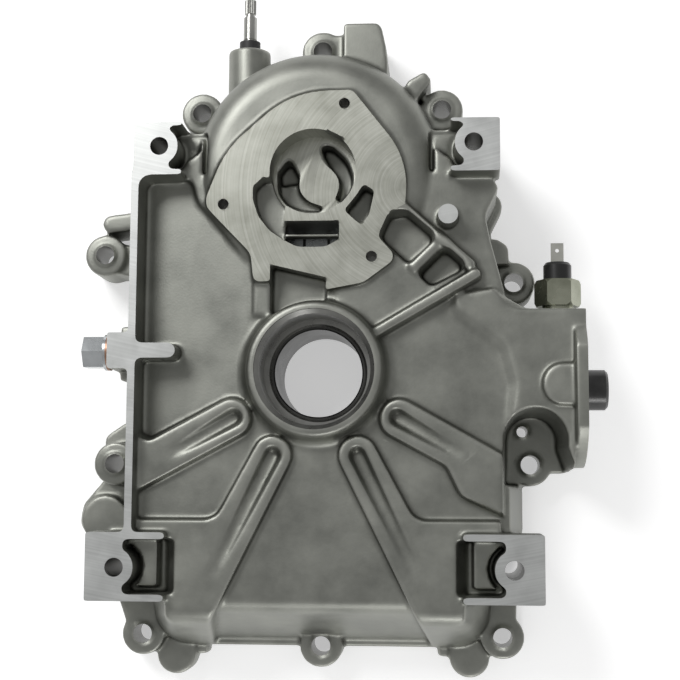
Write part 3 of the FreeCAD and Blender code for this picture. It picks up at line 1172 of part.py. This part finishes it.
def pressure_switch():
    x, y, z = cell("switch_x"), cell("platform_top_y"), cell("switch_z")
    one = Size(1.0, "1.0")
    neck_height, hex_height = one * 3.2, cell("switch_hex_height")
    hex_y = y + neck_height
    thread = cylinder("switch_thread_rod", cell("switch_thread"), cell("switch_thread_length"),
                      (x, y - cell("switch_thread_length"), z), "back")
    neck = cylinder("switch_neck_rod", cell("switch_neck"), neck_height, (x, y, z), "back")
    nut = hexagon("switch_nut", cell("switch_hex"), hex_height, (x, hex_y, z), "back")
    round_off = turned("switch_rounding", [(0, 0), (cell("switch_hex") * 0.53, 0), (cell("switch_hex") * 0.575, one * 1.6),
                                           (cell("switch_hex") * 0.575, hex_height - 1.6),
                                           (cell("switch_hex") * 0.53, hex_height), (0, hex_height)],
                       (x, hex_y, z), "back")
    nut_round = doc.addObject("Part::Common", "switch_hex_body")
    nut_round.Base, nut_round.Tool = nut, round_off
    bore = cylinder("switch_gland", cell("insulator_radius"), one * 4.0, (x, hex_y + hex_height - 4.0, z), "back")
    keep(carved("switch", joined("switch_shell", [thread, neck, nut_round]), [bore]), "switch_body")
    top_y = hex_y + hex_height
    plug_height = cell("insulator_height") + 4.0
    radius = cell("insulator_radius")
    insulator = turned("insulator_body", [(0, 0), (radius, 0), (radius, plug_height - 1.4),
                                          (radius - 1.0, plug_height), (0, plug_height)],
                       (x, top_y - 4.0, z), "back")
    width, thick = cell("blade_width"), cell("blade_thick")
    blade_low = top_y + cell("insulator_height") - 3.0
    slot = block("insulator_slot", width, one * 3.1, thick, (x - width * 0.5, blade_low, z - thick * 0.5))
    keep(carved("insulator", insulator, [slot]), "switch_insulator")
    blade = block("blade_plate", width, cell("blade_height") + 3.0, thick,
                  (x - width * 0.5, blade_low, z - thick * 0.5))
    hole = cylinder("blade_hole", one * 0.9, one * 3.0, (x, top_y + cell("insulator_height") + 6.0, z - 1.5))
    keep(carved("blade", blade, [hole]), "switch_blade")


def drain_parts():
    left = cell("left_wall_x") * -1 - cell("drain_boss_reach")
    y, z = cell("drain_y"), cell("drain_z")
    thick, flange = cell("drain_washer_thick"), cell("drain_flange")
    flange_thick = cell("drain_flange_thick")
    thread = cell("drain_thread")
    keep(turned("drain_ring", [(thread + 0.1, 0), (flange, 0), (flange, thick), (thread + 0.1, thick)],
                (left, y, z), "left"), "drain_washer")
    stem = cylinder("drain_stem", thread, cell("drain_thread_length") + thick, (left - thick, y, z), "right")
    disc = cylinder("drain_disc", flange, flange_thick, (left - thick, y, z), "left")
    head = hexagon("drain_head_hex", cell("drain_hex"), cell("drain_head"), (left - thick - flange_thick, y, z), "left")
    keep(joined("drain", [stem, disc, head]), "drain_plug")


# Oil strainer under the pump inlet

def strainer_parts():
    """Moulded frame with its lugs, the mesh clipped into it and two screws."""
    x0, x1, y0, y1 = strainer_plan()
    low, high, thick = mm("strainer_level"), mm("pump_block_level"), mm("strainer_thick")
    frame = box(x0, x1, y0, y1, low, high).cut(box(x0 + thick, x1 - thick, y0 + thick, y1 - thick,
                                                   low - 1, high + 1))
    bars = [box(x - 0.6, x + 0.6, y0, y1, low + 0.8, low + 2.3) for x in (x0 + 11.5, x1 - 11.5)]
    lugs = [post(x, y, 5, high - 2.5, high) for x, y in strainer_screws()]
    lugs = [lug.cut(box(x0 + 1, x1 - 1, y0, y1, 0, high + 1)) for lug in lugs]
    holes = [post(x, y, mm("strainer_screw") + 0.1, 0, high + 1) for x, y in strainer_screws()]
    keep(formed("frame", frame.fuse(bars + lugs).cut(holes)), "strainer_frame")
    mesh = box(x0 + thick, x1 - thick, y0 + thick, y1 - thick, low, low + 0.8)
    keep(formed("mesh", mesh), "strainer_mesh")
    screws = []
    for x, y in strainer_screws():
        shank = post(x, y, mm("strainer_screw"), high - 2.5, high + 8)
        head = post(x, y, mm("strainer_head"), high - 4.7, high - 2.5)
        cross = box(x - 2.2, x + 2.2, y - 0.4, y + 0.4, high - 5, high - 3.6)
        screws.append(shank.fuse(head).cut(cross))
    keep(formed("screws", Part.makeCompound(screws)), "strainer_screws")


# The assembly

keep(formed("casting", casting().Solids[0]), "cover_casting")
keep(main_bush(), "main_bush")
keep(cross_shaft(), "governor_shaft")
cross_shaft_rings()
keep(governor_lever(), "governor_lever")
keep(stub_shaft(), "governor_stub_shaft")
governor_rings()
keep(governor_gear(), "governor_gear")
keep(flyweight_pins(), "flyweight_pins")
keep(flyweight(1), "flyweight_rear")
keep(flyweight(-1), "flyweight_front")
keep(governor_sleeve(), "governor_sleeve")
relief_parts()
keep(filter_nipple(), "filter_nipple")
pressure_switch()
drain_parts()
strainer_parts()

doc.recompute()
faulty = [item.Name for item in doc.Objects if {"Invalid", "Error"} & set(item.State)]
if faulty:
    raise RuntimeError("these objects failed: " + ", ".join(faulty))

os.makedirs("parts", exist_ok=True)
for item in NODES:
    shape = item.Shape
    if shape.isNull() or not shape.isValid() or not shape.Solids:
        raise RuntimeError(item.Label + " is not a valid solid")
for item in NODES:
    item.Shape.exportStep("parts/" + item.Label + ".step")
    print(item.Label, len(item.Shape.Solids), "solid,", len(item.Shape.Faces), "faces")
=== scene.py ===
import math
import bmesh
import bpy
import numpy as np
from mathutils import Matrix, Vector


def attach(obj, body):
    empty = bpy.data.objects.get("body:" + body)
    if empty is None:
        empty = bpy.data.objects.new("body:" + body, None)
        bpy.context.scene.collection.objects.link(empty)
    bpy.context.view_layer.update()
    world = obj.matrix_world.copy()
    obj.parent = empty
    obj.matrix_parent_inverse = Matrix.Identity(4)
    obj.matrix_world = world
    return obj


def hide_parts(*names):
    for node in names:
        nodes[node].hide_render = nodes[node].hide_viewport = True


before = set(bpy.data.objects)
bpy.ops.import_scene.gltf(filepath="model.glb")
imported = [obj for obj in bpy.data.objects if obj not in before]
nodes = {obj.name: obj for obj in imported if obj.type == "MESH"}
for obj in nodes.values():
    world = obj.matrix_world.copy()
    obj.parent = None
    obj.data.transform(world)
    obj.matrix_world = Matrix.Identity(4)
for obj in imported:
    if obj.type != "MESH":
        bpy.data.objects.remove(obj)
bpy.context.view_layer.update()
scene = bpy.context.scene
scene.view_settings.view_transform = "Standard"


# Camera: it looks down on the outside of the cover from almost straight above, as the portrait
# was taken, 0.69 m over the gasket face and a little to the right and below the crank.
eye = Vector((0.06033, -0.05855, 0.69357))
across = Vector((0.99709, 0.00511, -0.07610))
upward = Vector((0.00351, 0.99363, 0.11262))
backward = across.cross(upward)
focal_pixels, frame_pixels, sensor = 1400, 680, 36

camera = bpy.data.objects.new("camera", bpy.data.cameras.new("camera"))
scene.collection.objects.link(camera)
camera.matrix_world = Matrix((across, upward, backward)).transposed().to_4x4()
camera.location = eye
camera.data.sensor_width = sensor
camera.data.lens = focal_pixels / frame_pixels * sensor
camera.data.clip_start, camera.data.clip_end = 0.01, 20
scene.camera = camera


# Studio: a white floor that keeps the cover's soft shadow, a pale room and two soft round lamps. The
# large one hangs over the upper left, and the small low one lights the lower wall.
def add(tree, kind, inputs=None, **settings):
    """Add a shader node, set its options, and fill its inputs with values or links."""
    made = tree.nodes.new(kind)
    for option, value in settings.items():
        setattr(made, option, value)
    for socket, value in (inputs or {}).items():
        if isinstance(value, bpy.types.NodeSocket):
            tree.links.new(value, made.inputs[socket])
        else:
            made.inputs[socket].default_value = value
    return made


def seen_directly(tree):
    """1 for rays from the camera or through gloss and glass, else 0."""
    rays = add(tree, "ShaderNodeLightPath").outputs
    first = add(tree, "ShaderNodeMath", {0: rays["Is Camera Ray"], 1: rays["Is Glossy Ray"]},
                operation="MAXIMUM")
    both = add(tree, "ShaderNodeMath", {0: first.outputs[0], 1: rays["Is Transmission Ray"]},
               operation="MAXIMUM")
    return both.outputs[0]


def room_light(level):
    """A white world that the camera sees at full strength. Level is what it lights the cover with."""
    world = bpy.data.worlds.new("pale room")
    world.use_nodes = True
    tree = world.node_tree
    tree.nodes.clear()
    camera_ray = add(tree, "ShaderNodeLightPath").outputs["Is Camera Ray"]
    strength = add(tree, "ShaderNodeMapRange", {"Value": camera_ray, "To Min": level, "To Max": 1.0})
    sky = add(tree, "ShaderNodeBackground", {"Color": (1, 1, 1, 1), "Strength": strength.outputs[0]})
    add(tree, "ShaderNodeOutputWorld", {"Surface": sky.outputs[0]})
    scene.world = world


def soft_lamp(name, place, aim, size, power):
    """A round lamp, its size in metres and its power in watts, turned to a point."""
    lamp = bpy.data.lights.new(name, "AREA")
    lamp.shape, lamp.size, lamp.energy = "DISK", size, power
    stand = bpy.data.objects.new(name, lamp)
    scene.collection.objects.link(stand)
    stand.location = place
    stand.rotation_euler = (Vector(aim) - Vector(place)).to_track_quat("-Z", "Y").to_euler()


room_light(level=0.45)
soft_lamp("top lamp", (-0.62, 0.82, 1.15), (0, 0.02, 0.03), 0.6, 11.0)
soft_lamp("low lamp", (0.15, -1.1, 0.55), (0, -0.05, 0.03), 0.35, 3.0)

floor_reach, floor_drop, floor_lift = 3.0, 0.0003, 0.45
sheet = bmesh.new()
bmesh.ops.create_grid(sheet, x_segments=1, y_segments=1, size=floor_reach)
bmesh.ops.translate(sheet, verts=sheet.verts, vec=(0, 0, -floor_drop))
floor_mesh = bpy.data.meshes.new("floor")
sheet.to_mesh(floor_mesh)
sheet.free()
floor = bpy.data.objects.new("floor", floor_mesh)
scene.collection.objects.link(floor)
white = bpy.data.materials.new("white floor")
white.use_nodes = True
tree = white.node_tree
tree.nodes.clear()
paint = add(tree, "ShaderNodeBsdfDiffuse", {"Color": (0.86, 0.86, 0.86, 1)})
lift = add(tree, "ShaderNodeEmission", {"Color": (1, 1, 1, 1)})
lift_level = add(tree, "ShaderNodeMath", {0: seen_directly(tree), 1: floor_lift}, operation="MULTIPLY")
tree.links.new(lift_level.outputs[0], lift.inputs["Strength"])
both = add(tree, "ShaderNodeAddShader", {0: paint.outputs[0], 1: lift.outputs[0]})
add(tree, "ShaderNodeOutputMaterial", {"Surface": both.outputs[0]})
floor_mesh.materials.append(white)


# Cover casting: the one big die casting of aluminium that everything else is fitted to. Its cast
# skin is soft at every edge. Pads, rib, pump face, seal seat and bolt holes are machined after
# casting, so those edges are sharp and the metal there is bright.
mm = 0.001
voxel = 0.0008
casting_triangles = 165000


def merged_copy(node):
    """A frame piece's mesh as an editable copy with its corners joined."""
    shape = bmesh.new()
    shape.from_mesh(nodes[node].data)
    bmesh.ops.remove_doubles(shape, verts=shape.verts, dist=0.001 * mm)
    return shape


def object_from(shape, name):
    """Turn a finished shape into an object of the scene."""
    mesh = bpy.data.meshes.new(name)
    shape.to_mesh(mesh)
    shape.free()
    made = bpy.data.objects.new(name, mesh)
    scene.collection.objects.link(made)
    return made


def join(shape, new):
    """Move everything of one shape into another."""
    passing = bpy.data.meshes.new("passing")
    new.to_mesh(passing)
    new.free()
    shape.from_mesh(passing)
    bpy.data.meshes.remove(passing)


def rod(shape, centre, radius, low, high, sides=48):
    """Add a round upright bar from low to high."""
    middle = Vector((*centre, (low + high) / 2))
    bmesh.ops.create_cone(shape, cap_ends=True, segments=sides, radius1=radius * mm, radius2=radius * mm,
                          depth=(high - low) * mm, matrix=Matrix.Translation(middle * mm))


def paint_faces(shape, number):
    """Give all faces of a tool the number of the material that they leave behind."""
    for face in shape.faces:
        face.material_index = number


def slab(shape, x0, x1, y0, y1, z0, z1):
    """Add a straight-edged block."""
    place = Matrix.Translation(Vector((x0 + x1, y0 + y1, z0 + z1)) * mm / 2)
    size = Matrix.Diagonal(((x1 - x0) * mm, (y1 - y0) * mm, (z1 - z0) * mm, 1))
    bmesh.ops.create_cube(shape, size=1, matrix=place @ size)


def turned(shape, profile):
    """Add a solid turned about the crank axis. The profile is (radius, height), its ends on the axis."""
    new = bmesh.new()
    rim = [new.verts.new((radius * mm, 0, height * mm)) for radius, height in profile]
    edges = [new.edges.new(pair) for pair in zip(rim, rim[1:])]
    bmesh.ops.spin(new, geom=rim + edges, cent=(0, 0, 0), axis=(0, 0, 1), angle=math.tau, steps=96,
                   use_merge=True, use_duplicate=False)
    bmesh.ops.remove_doubles(new, verts=new.verts, dist=0.002 * mm)
    bmesh.ops.recalc_face_normals(new, faces=new.faces)
    join(shape, new)


# Machining stock, in millimetres: each face that is milled later stands this much proud while the
# skin is softened. The pump face's own outline, raised, is the mill that keeps its edges sharp.
pad_level, pump_level, hub_level, filter_face = 65.0, 57.0, 63.2, 123.5
pocket_floor, collar_level = 40.0, 41.2
machined_planes = [  # axis, level, way it faces, reach in the two other axes
    (2, pad_level, 1, (-125, 125), (-140, 180)), (2, 0.0, -1, (-125, 140), (-160, 180)),
    (2, pump_level, 1, (-56, 46), (36, 140)), (2, hub_level, 1, (-33, 33), (-33, 33)),
    (0, filter_face, 1, (-50, 40), (-1, 70)), (2, pocket_floor, 1, (-23, 20), (72, 114)),
    (2, collar_level, 1, (-10, 10), (79, 100))]
stock, traced_mill_height = 1.4, 2.9
plain_milling, boring, pump_milling = 1, 2, 3
casting = merged_copy("cover_casting")
traced_mill = bmesh.new()
for axis, level, way, first, second in machined_planes:
    others = [a for a in range(3) if a != axis]
    picked = []
    casting.faces.index_update()
    for face in casting.faces:
        centre = face.calc_center_median() / mm
        if face.normal[axis] * way > 0.99 and abs(centre[axis] - level) < 0.03 \
                and first[0] < centre[others[0]] < first[1] and second[0] < centre[others[1]] < second[1]:
            picked.append(face)
    if level == pump_level:
        pattern = casting.copy()
        kept = {face.index for face in picked}
        spare = [face for face in pattern.faces if face.index not in kept]
        bmesh.ops.delete(pattern, geom=spare, context="FACES")
        risen = bmesh.ops.extrude_face_region(pattern, geom=pattern.faces[:])["geom"]
        bmesh.ops.translate(pattern, verts=[g for g in risen if isinstance(g, bmesh.types.BMVert)],
                            vec=(0, 0, traced_mill_height * mm))
        bmesh.ops.recalc_face_normals(pattern, faces=pattern.faces)
        paint_faces(pattern, pump_milling)
        join(traced_mill, pattern)
    grown = bmesh.ops.extrude_face_region(casting, geom=picked)["geom"]
    push = Vector((0, 0, 0))
    push[axis] = way * stock * mm
    bmesh.ops.translate(casting, verts=[g for g in grown if isinstance(g, bmesh.types.BMVert)], vec=push)
    bmesh.ops.delete(casting, geom=[face for face in picked if face.is_valid], context="FACES_ONLY")

# Holes and bores are stopped up before the skin is softened, and drilled again after it. The pump
# shaft's bore is the exception: it stays closed here, and only the CAD has it.
crank, pump_shaft, pump_screws, rotor_pocket = (0, 0), (0, 89.5), (-1.7, 85.2), (-1.8, 93.1)
mount_circle, pump_screw_circle = 127, 42.6
mount_holes = [(side * mount_circle * math.sin(math.radians(turn)),
                way * mount_circle * math.cos(math.radians(turn)))
               for turn, way in ((35, 1), (45, -1)) for side in (-1, 1)]
# Each ear hole is x, y and the height of its ear.
ear_holes = [(-58.2, 127.7, 34), (0.6, 157.7, 34), (58.2, 127.7, 34), (-107, 59.7, 24.5), (-96.7, -42.6, 38),
             (92.3, 44.7, 24.5), (99.7, -42.1, 17), (-86.1, -123.4, 17), (0, -128.2, 17), (86.1, -123.4, 17)]
mount_hole, ear_hole, locating_hole, pump_screw_hole = 4.25, 4.5, 2.6, 2.55
drilled = [(place, mount_hole, 0, pad_level) for place in mount_holes]
drilled += [((x, y), ear_hole, 0, top) for x, y, top in ear_holes]
drilled += [((96, -26.4), locating_hole, 0, 17)]
for turn in (70, 190, 310):
    place = (pump_screws[0] + pump_screw_circle * math.cos(math.radians(turn)),
             pump_screws[1] + pump_screw_circle * math.sin(math.radians(turn)))
    drilled.append((place, pump_screw_hole, 43, pump_level))
seat_profile = [(0, -3), (22.14, -3), (22.14, 40), (23.14, 41), (25.6, 41), (25.6, 61.2), (27.6, 63.2),
                (27.6, 68), (0, 68)]
plug_margin, plug_inset = 0.4, 0.6
plugs = bmesh.new()
for place, radius, low, high in drilled:
    rod(plugs, place, radius + plug_margin, low + plug_inset, high + stock)
rod(plugs, pump_shaft, 6.6, 26, collar_level + stock)
rod(plugs, crank, 24.0, 0.5, 41.2)
rod(plugs, crank, 27.0, 40.5, hub_level + stock)
join(casting, plugs)

# The wall at the lower right ear leans out to its foot.
foot_spread = 8.1
lean = bmesh.new()
slab(lean, 80, 88.5, -76, -52, 2, 52.2)
for corner in lean.verts:
    if corner.co.z < 10 * mm and corner.co.x > 85 * mm:
        corner.co.x += foot_spread * mm
join(casting, lean)
rough = object_from(casting, "rough casting")

soften = rough.modifiers.new("soften", "REMESH")
soften.mode, soften.voxel_size = "VOXEL", voxel
calm = rough.modifiers.new("calm", "SMOOTH")
calm.factor, calm.iterations = 0.5, 12
graph = bpy.context.evaluated_depsgraph_get()
count = sum(len(face.vertices) - 2 for face in rough.evaluated_get(graph).data.polygons)
thin = rough.modifiers.new("thin", "DECIMATE")
thin.ratio = casting_triangles / count
graph = bpy.context.evaluated_depsgraph_get()
skin_mesh = bpy.data.meshes.new_from_object(rough.evaluated_get(graph))
bpy.data.objects.remove(rough)

# Milling and drilling tools. Each cuts past the stock that was left for it.
mills = bmesh.new()
slab(mills, -130, 130, -150, 190, pad_level, 72)
slab(mills, -130, 140, -160, 190, -4, 0)
slab(mills, filter_face, 128, -60, 60, 0.7, 64.3)
paint_faces(mills, plain_milling)
drills = bmesh.new()
for place, radius, low, high in drilled:
    rod(drills, place, radius, low - 3 if low == 0 else low, high + 4)
turned(drills, seat_profile)
paint_faces(drills, boring)
pocket = bmesh.new()
rod(pocket, rotor_pocket, 20.2, 41.3, 62, sides=128)
paint_faces(pocket, pump_milling)


def carved(mesh, tool, materials):
    """Cut one shape out of a mesh. The cut faces take the tool's material numbers."""
    work, cutter = bpy.data.objects.new("work", mesh), object_from(tool, "cutter")
    scene.collection.objects.link(work)
    for thing in (work, cutter):
        for material in materials[len(thing.data.materials):]:
            thing.data.materials.append(material)
    cut = work.modifiers.new("cut", "BOOLEAN")
    cut.operation, cut.object, cut.solver = "DIFFERENCE", cutter, "MANIFOLD"
    result = bpy.data.meshes.new_from_object(work.evaluated_get(bpy.context.evaluated_depsgraph_get()))
    for thing in (work, cutter):
        bpy.data.objects.remove(thing)
    if "custom_normal" in result.attributes:
        result.attributes.remove(result.attributes["custom_normal"])
    return result


def mark_bends(mesh, rounds, full_bend):
    """Store how hollow and how proud each point lies, 1 at the full bend in 1/m. Hollows get painted shade,
    proud points a lighter tint.
    """
    points, normals = np.empty(len(mesh.vertices) * 3), np.empty(len(mesh.vertices) * 3)
    mesh.vertices.foreach_get("co", points)
    mesh.vertices.foreach_get("normal", normals)
    points, normals = points.reshape(-1, 3), normals.reshape(-1, 3)
    ends = np.empty(len(mesh.edges) * 2, dtype=np.int32)
    mesh.edges.foreach_get("vertices", ends)
    first, second = ends[0::2], ends[1::2]
    run = points[second] - points[first]
    length = np.linalg.norm(run, axis=1) + 1e-9
    weight = np.bincount(first, length, len(points)) + np.bincount(second, length, len(points)) + 1e-12
    bend = np.bincount(first, (normals[first] * run).sum(axis=1) / length, len(points))
    bend -= np.bincount(second, (normals[second] * run).sum(axis=1) / length, len(points))
    bend /= weight
    for _ in range(rounds):
        spread = np.bincount(first, bend[second] * length, len(points))
        spread += np.bincount(second, bend[first] * length, len(points))
        bend = (bend + spread / weight) / 2
    for name, value in (("hollow_shade", bend / full_bend), ("proud_tint", -bend / full_bend)):
        layer = mesh.attributes.new(name, "FLOAT", "POINT")
        layer.data.foreach_set("value", np.clip(value, 0, 1))


def grain_group():
    """Soft clouds and fine grit on Object coordinates."""
    group = bpy.data.node_groups.new("Grain", "ShaderNodeTree")
    for name, side in (("Cloud Scale", "INPUT"), ("Grit Scale", "INPUT"), ("Clouds", "OUTPUT"),
                       ("Grit", "OUTPUT")):
        group.interface.new_socket(name, in_out=side, socket_type="NodeSocketFloat")
    entry = add(group, "NodeGroupInput").outputs
    place = add(group, "ShaderNodeTexCoord").outputs["Object"]
    clouds = add(group, "ShaderNodeTexNoise", {"Vector": place, "Scale": entry["Cloud Scale"], "Detail": 5.0,
                                               "Roughness": 0.6})
    grit = add(group, "ShaderNodeTexNoise", {"Vector": place, "Scale": entry["Grit Scale"], "Detail": 3.0})
    add(group, "NodeGroupOutput", {"Clouds": clouds.outputs["Fac"], "Grit": grit.outputs["Fac"]})
    return group


def milling_group():
    """Arcs that a face mill leaves, as uneven lines round a centre given in metres."""
    group = bpy.data.node_groups.new("Milling", "ShaderNodeTree")
    group.interface.new_socket("Centre", in_out="INPUT", socket_type="NodeSocketVector")
    group.interface.new_socket("Lines", in_out="OUTPUT", socket_type="NodeSocketFloat")
    entry = add(group, "NodeGroupInput").outputs
    place = add(group, "ShaderNodeTexCoord").outputs["Object"]
    reach = add(group, "ShaderNodeVectorMath", {0: place, 1: entry["Centre"]}, operation="DISTANCE")
    lines = add(group, "ShaderNodeTexNoise", {"W": reach.outputs["Value"], "Scale": 900.0, "Detail": 4.0,
                                              "Roughness": 0.7}, noise_dimensions="1D")
    add(group, "NodeGroupOutput", {"Lines": lines.outputs["Fac"]})
    return group


grain, milling = grain_group(), milling_group()
# Painted shade darkens the hollows of the cast skin towards the first colour. Proud edges are tinted towards
# the second, lighter colour.
hollow_shade_colour, hollow_shade_depth = (0.03, 0.029, 0.023, 1), 0.85
proud_tint_colour, proud_tint_depth = (0.5, 0.5, 0.46, 1), 0.5


def metal(name, dark, light, roughness, metallic=1.0, grit=0.2, cloud_scale=60.0, grit_scale=1500.0,
          bump_reach=0.0001, arcs=None, bend_tints=False):
    """A finished surface: two close colours in clouds, uneven gloss and fine bump.

    Arcs is the centre of the mill's lines, in metres. The last argument adds painted shade in the hollows and
    a lighter tint on proud edges, both from mark_bends.
    """
    made = bpy.data.materials.new(name)
    made.use_nodes = True
    tree = made.node_tree
    tree.nodes.clear()
    noise = add(tree, "ShaderNodeGroup", node_tree=grain)
    noise.inputs["Cloud Scale"].default_value = cloud_scale
    noise.inputs["Grit Scale"].default_value = grit_scale
    blend, height = noise.outputs["Clouds"], noise.outputs["Grit"]
    if arcs:
        lines = add(tree, "ShaderNodeGroup", node_tree=milling)
        lines.inputs["Centre"].default_value = arcs
        blend = add(tree, "ShaderNodeMath", {0: blend, 1: lines.outputs["Lines"]}, operation="ADD").outputs[0]
        blend = add(tree, "ShaderNodeMapRange", {"Value": blend, "From Min": 0.7, "From Max": 1.3}).outputs[0]
        height = lines.outputs["Lines"]
    else:
        blend = add(tree, "ShaderNodeMapRange", {"Value": blend, "From Min": 0.3, "From Max": 0.7}).outputs[0]
    colour = add(tree, "ShaderNodeMix", {"Factor": blend, "A": (*dark, 1), "B": (*light, 1)},
                 data_type="RGBA").outputs["Result"]
    if bend_tints:
        # Painted shade: the hollows are darkened, then the proud edges are tinted lighter.
        hollow_shade = add(tree, "ShaderNodeAttribute", attribute_name="hollow_shade").outputs["Fac"]
        hollow_shade = add(tree, "ShaderNodeMath", {0: hollow_shade, 1: hollow_shade_depth}, operation="MULTIPLY").outputs[0]
        colour = add(tree, "ShaderNodeMix", {"Factor": hollow_shade, "A": colour, "B": hollow_shade_colour},
                     data_type="RGBA").outputs["Result"]
        proud_tint = add(tree, "ShaderNodeAttribute", attribute_name="proud_tint").outputs["Fac"]
        proud_tint = add(tree, "ShaderNodeMath", {0: proud_tint, 1: proud_tint_depth}, operation="MULTIPLY").outputs[0]
        colour = add(tree, "ShaderNodeMix", {"Factor": proud_tint, "A": colour, "B": proud_tint_colour},
                     data_type="RGBA").outputs["Result"]
    rough = add(tree, "ShaderNodeMapRange", {"Value": noise.outputs["Clouds"],
                                             "From Min": 0.3, "From Max": 0.7,
                                             "To Min": roughness - 0.06, "To Max": roughness + 0.06})
    bump = add(tree, "ShaderNodeBump", {"Height": height, "Strength": grit, "Distance": bump_reach})
    shader = add(tree, "ShaderNodeBsdfPrincipled", {"Base Color": colour, "Roughness": rough.outputs[0],
                                                    "Metallic": metallic, "Normal": bump.outputs[0]})
    add(tree, "ShaderNodeOutputMaterial", {"Surface": shader.outputs[0]})
    return made


# The cast skin takes painted shade in its hollows and a lighter tint on its proud edges.
cast_skin = metal("cast aluminium", (0.20, 0.205, 0.185), (0.31, 0.315, 0.285), 0.46, grit=0.35,
                  grit_scale=1100, cloud_scale=38, bend_tints=True)
milled_skin = metal("milled aluminium", (0.50, 0.51, 0.50), (0.62, 0.63, 0.62), 0.42, grit=0.08,
                    arcs=(0.0, 0.4, 0.065), bump_reach=0.00003)
bored_skin = metal("bored aluminium", (0.22, 0.22, 0.21), (0.36, 0.36, 0.34), 0.3, grit=0.1)
pump_skin = metal("milled pump face", (0.33, 0.335, 0.29), (0.48, 0.485, 0.44), 0.4, grit=0.12,
                  arcs=(0.045, 0.085, 0.057), bump_reach=0.00003)
cast_materials = [cast_skin, milled_skin, bored_skin, pump_skin]

casting_mesh = carved(skin_mesh, mills, cast_materials)
casting_mesh = carved(casting_mesh, traced_mill, cast_materials)
casting_mesh = carved(casting_mesh, drills, cast_materials)
casting_mesh = carved(casting_mesh, pocket, cast_materials)
# How hollow or proud the finished casting lies at each point, for its painted shade and its lighter edge
# tint.
mark_bends(casting_mesh, rounds=5, full_bend=190)
casting_mesh.polygons.foreach_set("use_smooth", [True] * len(casting_mesh.polygons))
casting_mesh.set_sharp_from_angle(angle=math.radians(40))
cover = bpy.data.objects.new("casting", casting_mesh)
scene.collection.objects.link(cover)
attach(cover, "cover")
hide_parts("cover_casting")


# Main bush: a plain sleeve of bearing metal pressed into the hub from the engine side, where the
# crank runs.
def dress(node, material):
    """Give a carried-over piece its finish."""
    nodes[node].data.materials.clear()
    nodes[node].data.materials.append(material)


bearing_skin = metal("bearing metal", (0.05, 0.05, 0.048), (0.09, 0.09, 0.085), 0.3)
dress("main_bush", bearing_skin)


# Governor cross shaft: a ground steel shaft with a serrated tip for the outside arm. It turns in two
# small bushes in its boss, behind a rubber seal, and a washer and a spring clip keep it in.
ground_skin = metal("ground steel", (0.30, 0.30, 0.28), (0.40, 0.40, 0.38), 0.3)
zinc_skin = metal("zinc plated steel", (0.42, 0.44, 0.45), (0.56, 0.58, 0.59), 0.28)
spring_skin = metal("oiled spring steel", (0.12, 0.12, 0.125), (0.18, 0.18, 0.185), 0.35)
rubber_skin = metal("seal rubber", (0.02, 0.02, 0.02), (0.03, 0.03, 0.03), 0.6, metallic=0.0)
dress("governor_shaft", ground_skin)
dress("governor_shaft_outer_bush", bearing_skin)
dress("governor_shaft_inner_bush", bearing_skin)
dress("governor_shaft_seal", rubber_skin)
dress("governor_shaft_washer", zinc_skin)
dress("governor_shaft_clip", spring_skin)
dress("governor_lever", zinc_skin)


# Governor: a nylon gear on a stub shaft pressed into the casting. Two zinc weights swing on steel
# pins in it and push a nylon sleeve against the lever.
nylon_skin = metal("natural nylon", (0.60, 0.57, 0.46), (0.70, 0.67, 0.56), 0.45, metallic=0.0)
weight_skin = metal("weight zinc", (0.28, 0.285, 0.30), (0.36, 0.365, 0.38), 0.42)
dress("governor_stub_shaft", ground_skin)
dress("governor_thrust_washer", zinc_skin)
dress("governor_clip", spring_skin)
dress("governor_gear", nylon_skin)
dress("flyweight_pins", ground_skin)
dress("flyweight_rear", weight_skin)
dress("flyweight_front", weight_skin)
dress("governor_sleeve", nylon_skin)


# Oil relief valve: a ground plunger and a coil spring in a blind bore, closed by a screwed cap.
# Oil at full pressure pushes the plunger down against the spring.
dress("relief_plunger", ground_skin)
dress("relief_spring", spring_skin)
dress("relief_cap", zinc_skin)


# Filter nipple: a turned sleeve of phosphated steel, screwed into the filter face. The oil filter
# goes on its outer end.
nipple_skin = metal("phosphated steel", (0.05, 0.05, 0.05), (0.10, 0.10, 0.098), 0.34)
dress("filter_nipple", nipple_skin)


# Oil pressure switch: a yellow zinc hexagon body screwed into the filter platform. A black plastic
# insulator is rolled into it and holds one tinned blade.
switch_skin = metal("yellow zinc", (0.24, 0.25, 0.19), (0.40, 0.41, 0.33), 0.26)
plastic_skin = metal("black plastic", (0.008, 0.008, 0.008), (0.016, 0.016, 0.016), 0.35, metallic=0.0)
blade_skin = metal("tinned brass", (0.46, 0.46, 0.42), (0.60, 0.60, 0.55), 0.3)
dress("switch_body", switch_skin)
dress("switch_insulator", plastic_skin)
dress("switch_blade", blade_skin)


# Drain plug: a zinc plated steel plug with a hexagon head, screwed into the drain boss on a soft
# copper washer.
washer_skin = metal("copper washer", (0.30, 0.17, 0.12), (0.42, 0.26, 0.18), 0.4)
dress("drain_washer", washer_skin)
dress("drain_plug", zinc_skin)


# Oil strainer: a frame moulded of black plastic with a mesh of steel, held under the pump inlet by
# two screws.
dress("strainer_frame", plastic_skin)
dress("strainer_mesh", zinc_skin)
dress("strainer_screws", zinc_skin)
